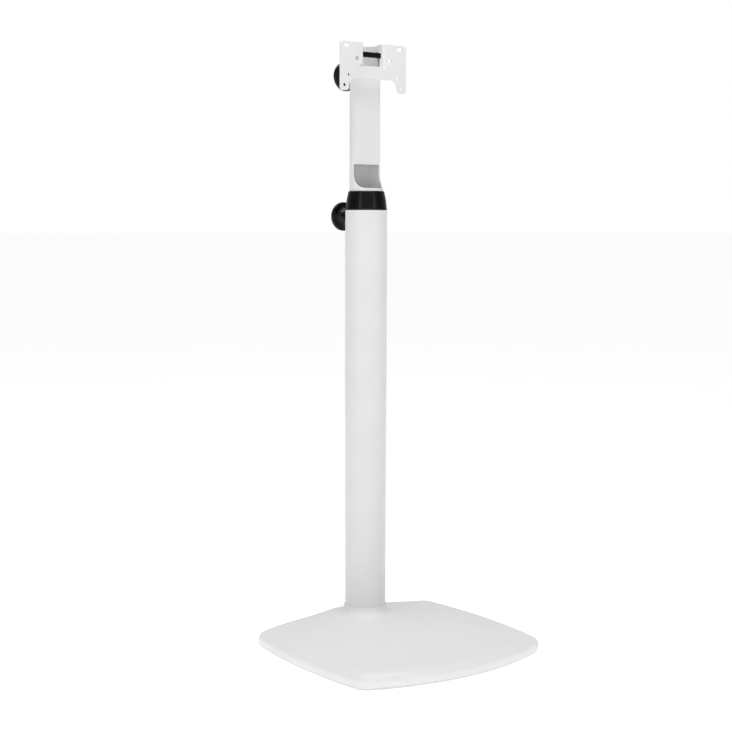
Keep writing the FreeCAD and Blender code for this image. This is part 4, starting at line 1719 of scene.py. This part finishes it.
@dataclass(frozen=True)
class Softbox:
    """A lamp that points at the stand.

    Attributes:
        name: Its name.
        azimuth: Where it stands round the column, in degrees.
        elevation: Its height above the horizon, in degrees.
        distance: From its target.
        width: Of its face.
        height: Of its face.
        power: In watts.
        aim: Height of its target.
    """

    name: str
    azimuth: float
    elevation: float
    distance: float
    width: float
    height: float
    power: float
    aim: float = 0.45

    def build(self) -> None:
        """Put the lamp in the scene."""
        turn, lift = math.radians(self.azimuth), math.radians(self.elevation)
        level = math.cos(lift)
        back = Vector((math.sin(turn) * level, -math.cos(turn) * level, math.sin(lift)))
        lamp = bpy.data.lights.new(self.name, "AREA")
        lamp.shape = "RECTANGLE"
        lamp.size, lamp.size_y, lamp.energy = self.width, self.height, self.power
        item = bpy.data.objects.new(self.name, lamp)
        item.location = Vector((0.0, AXIS[1], self.aim)) + back * self.distance
        item.rotation_euler = back.to_track_quat("Z", "Y").to_euler()
        bpy.context.scene.collection.objects.link(item)


@dataclass
class Studio:
    """The white floor, the lamps and the camera.

    Attributes:
        place: The camera's place.
        heading: Its turn about the vertical, in degrees.
        pitch: How far it looks down, in degrees.
        roll: Its turn about its own line of sight, in degrees.
        lens: Focal length in millimetres, on a sensor 36 wide.
        sky: Strength of the light from all round.
        glow: Strength of the floor's own light, as of a lit table.
        side_light: Share of the sky's strength that comes from the left and the right.
    """

    place: tuple[float, float, float] = (-1.2327, -1.6198, 0.6098)
    heading: float = -35.957
    pitch: float = 5.711
    roll: float = 0.165
    lens: float = 71.42
    sky: float = 0.56
    glow: float = 0.62
    side_light: float = 0.25

    def camera(self) -> None:
        """Stand the camera in front of the stand, to its left."""
        camera = bpy.data.cameras.new("camera")
        camera.lens, camera.sensor_width = self.lens, 36.0
        item = bpy.data.objects.new("camera", camera)
        item.location = self.place
        look = Euler((math.radians(90 - self.pitch), 0, math.radians(self.heading))).to_matrix()
        item.rotation_euler = (look @ Euler((0, 0, math.radians(self.roll))).to_matrix()).to_euler()
        bpy.context.scene.collection.objects.link(item)
        bpy.context.scene.camera = item

    def floor(self) -> None:
        """A wide floor of matt white card."""
        reach = 60.0
        share = np.linspace(-reach, reach, 9)
        x, y = np.meshgrid(share, share, indexing="ij")
        flat = Surface.grid(np.stack([x, y, 0 * x], axis=-1), False, False)
        piece = shown("studio_floor", flat.mesh("studio_floor"))
        shader = Shader("studio_card")
        tone = shader.noise(0.4, 2.0)
        card = shader.mixed(tone, (0.89, 0.89, 0.89), (0.91, 0.91, 0.91))
        shader.set(Base_Color=card, Emission_Color=card, Emission_Strength=self.glow)
        shader.set(Roughness=0.9, Specular_IOR_Level=0.1)
        piece.data.materials.append(shader.material)

    def world(self) -> None:
        """White light that falls off to the camera's left and right, before a white backdrop.

        Its strength follows the square of the direction's share across the camera's view.
        """
        world = bpy.data.worlds.new("white_room")
        world.use_nodes = True
        tree = world.node_tree
        light = tree.nodes["Background"]
        light.inputs["Color"].default_value = (1, 1, 1, 1)
        backdrop = tree.nodes.new("ShaderNodeBackground")
        backdrop.inputs["Strength"].default_value = 1.0
        backdrop.inputs["Color"].default_value = (1, 1, 1, 1)
        way = tree.nodes.new("ShaderNodeTexCoord")
        across = tree.nodes.new("ShaderNodeVectorMath")
        across.operation = "DOT_PRODUCT"
        turn = math.radians(self.heading)
        across.inputs[1].default_value = (math.cos(turn), math.sin(turn), 0.0)
        tree.links.new(way.outputs["Generated"], across.inputs[0])
        squared = tree.nodes.new("ShaderNodeMath")
        squared.operation = "MULTIPLY"
        fall = tree.nodes.new("ShaderNodeMapRange")
        fall.inputs["To Min"].default_value = self.sky
        fall.inputs["To Max"].default_value = self.sky * self.side_light
        for index in (0, 1):
            tree.links.new(across.outputs["Value"], squared.inputs[index])
        tree.links.new(squared.outputs[0], fall.inputs["Value"])
        tree.links.new(fall.outputs["Result"], light.inputs["Strength"])
        path = tree.nodes.new("ShaderNodeLightPath")
        mix = tree.nodes.new("ShaderNodeMixShader")
        tree.links.new(path.outputs["Is Camera Ray"], mix.inputs["Fac"])
        tree.links.new(light.outputs[0], mix.inputs[1])
        tree.links.new(backdrop.outputs[0], mix.inputs[2])
        tree.links.new(mix.outputs[0], tree.nodes["World Output"].inputs["Surface"])
        bpy.context.scene.world = world

    def build(self) -> None:
        """Set up the whole studio."""
        self.camera()
        self.floor()
        self.world()
        for box in (Softbox("left_softbox", -72, 4, 1.9, 0.22, 1.7, 3.6),
                    Softbox("right_softbox", 12, 4, 1.9, 0.22, 1.7, 2.9),
                    Softbox("front_softbox", -36, 48, 1.9, 0.9, 0.9, 0.8, 0.75),
                    Softbox("ceiling_softbox", -36, 84, 1.9, 1.1, 1.1, 18.5, 0.0)):
            box.build()
        bpy.context.scene.view_settings.view_transform = "Standard"


# ------------------------------------------------------------------ build


def main() -> None:
    """Build the stand from the floor up, then the studio."""
    logging.basicConfig(level=logging.INFO, format="%(name)s: %(message)s")
    assemblies = [Base(), Column(), Clamp("height", "column_tube"), Neck(),
                  Clamp("head", "neck_tube"), Head(), Studio()]
    for assembly in assemblies:
        LOG.info("building %s", type(assembly).__name__)
        assembly.build()


if __name__ == "__main__":
    main()
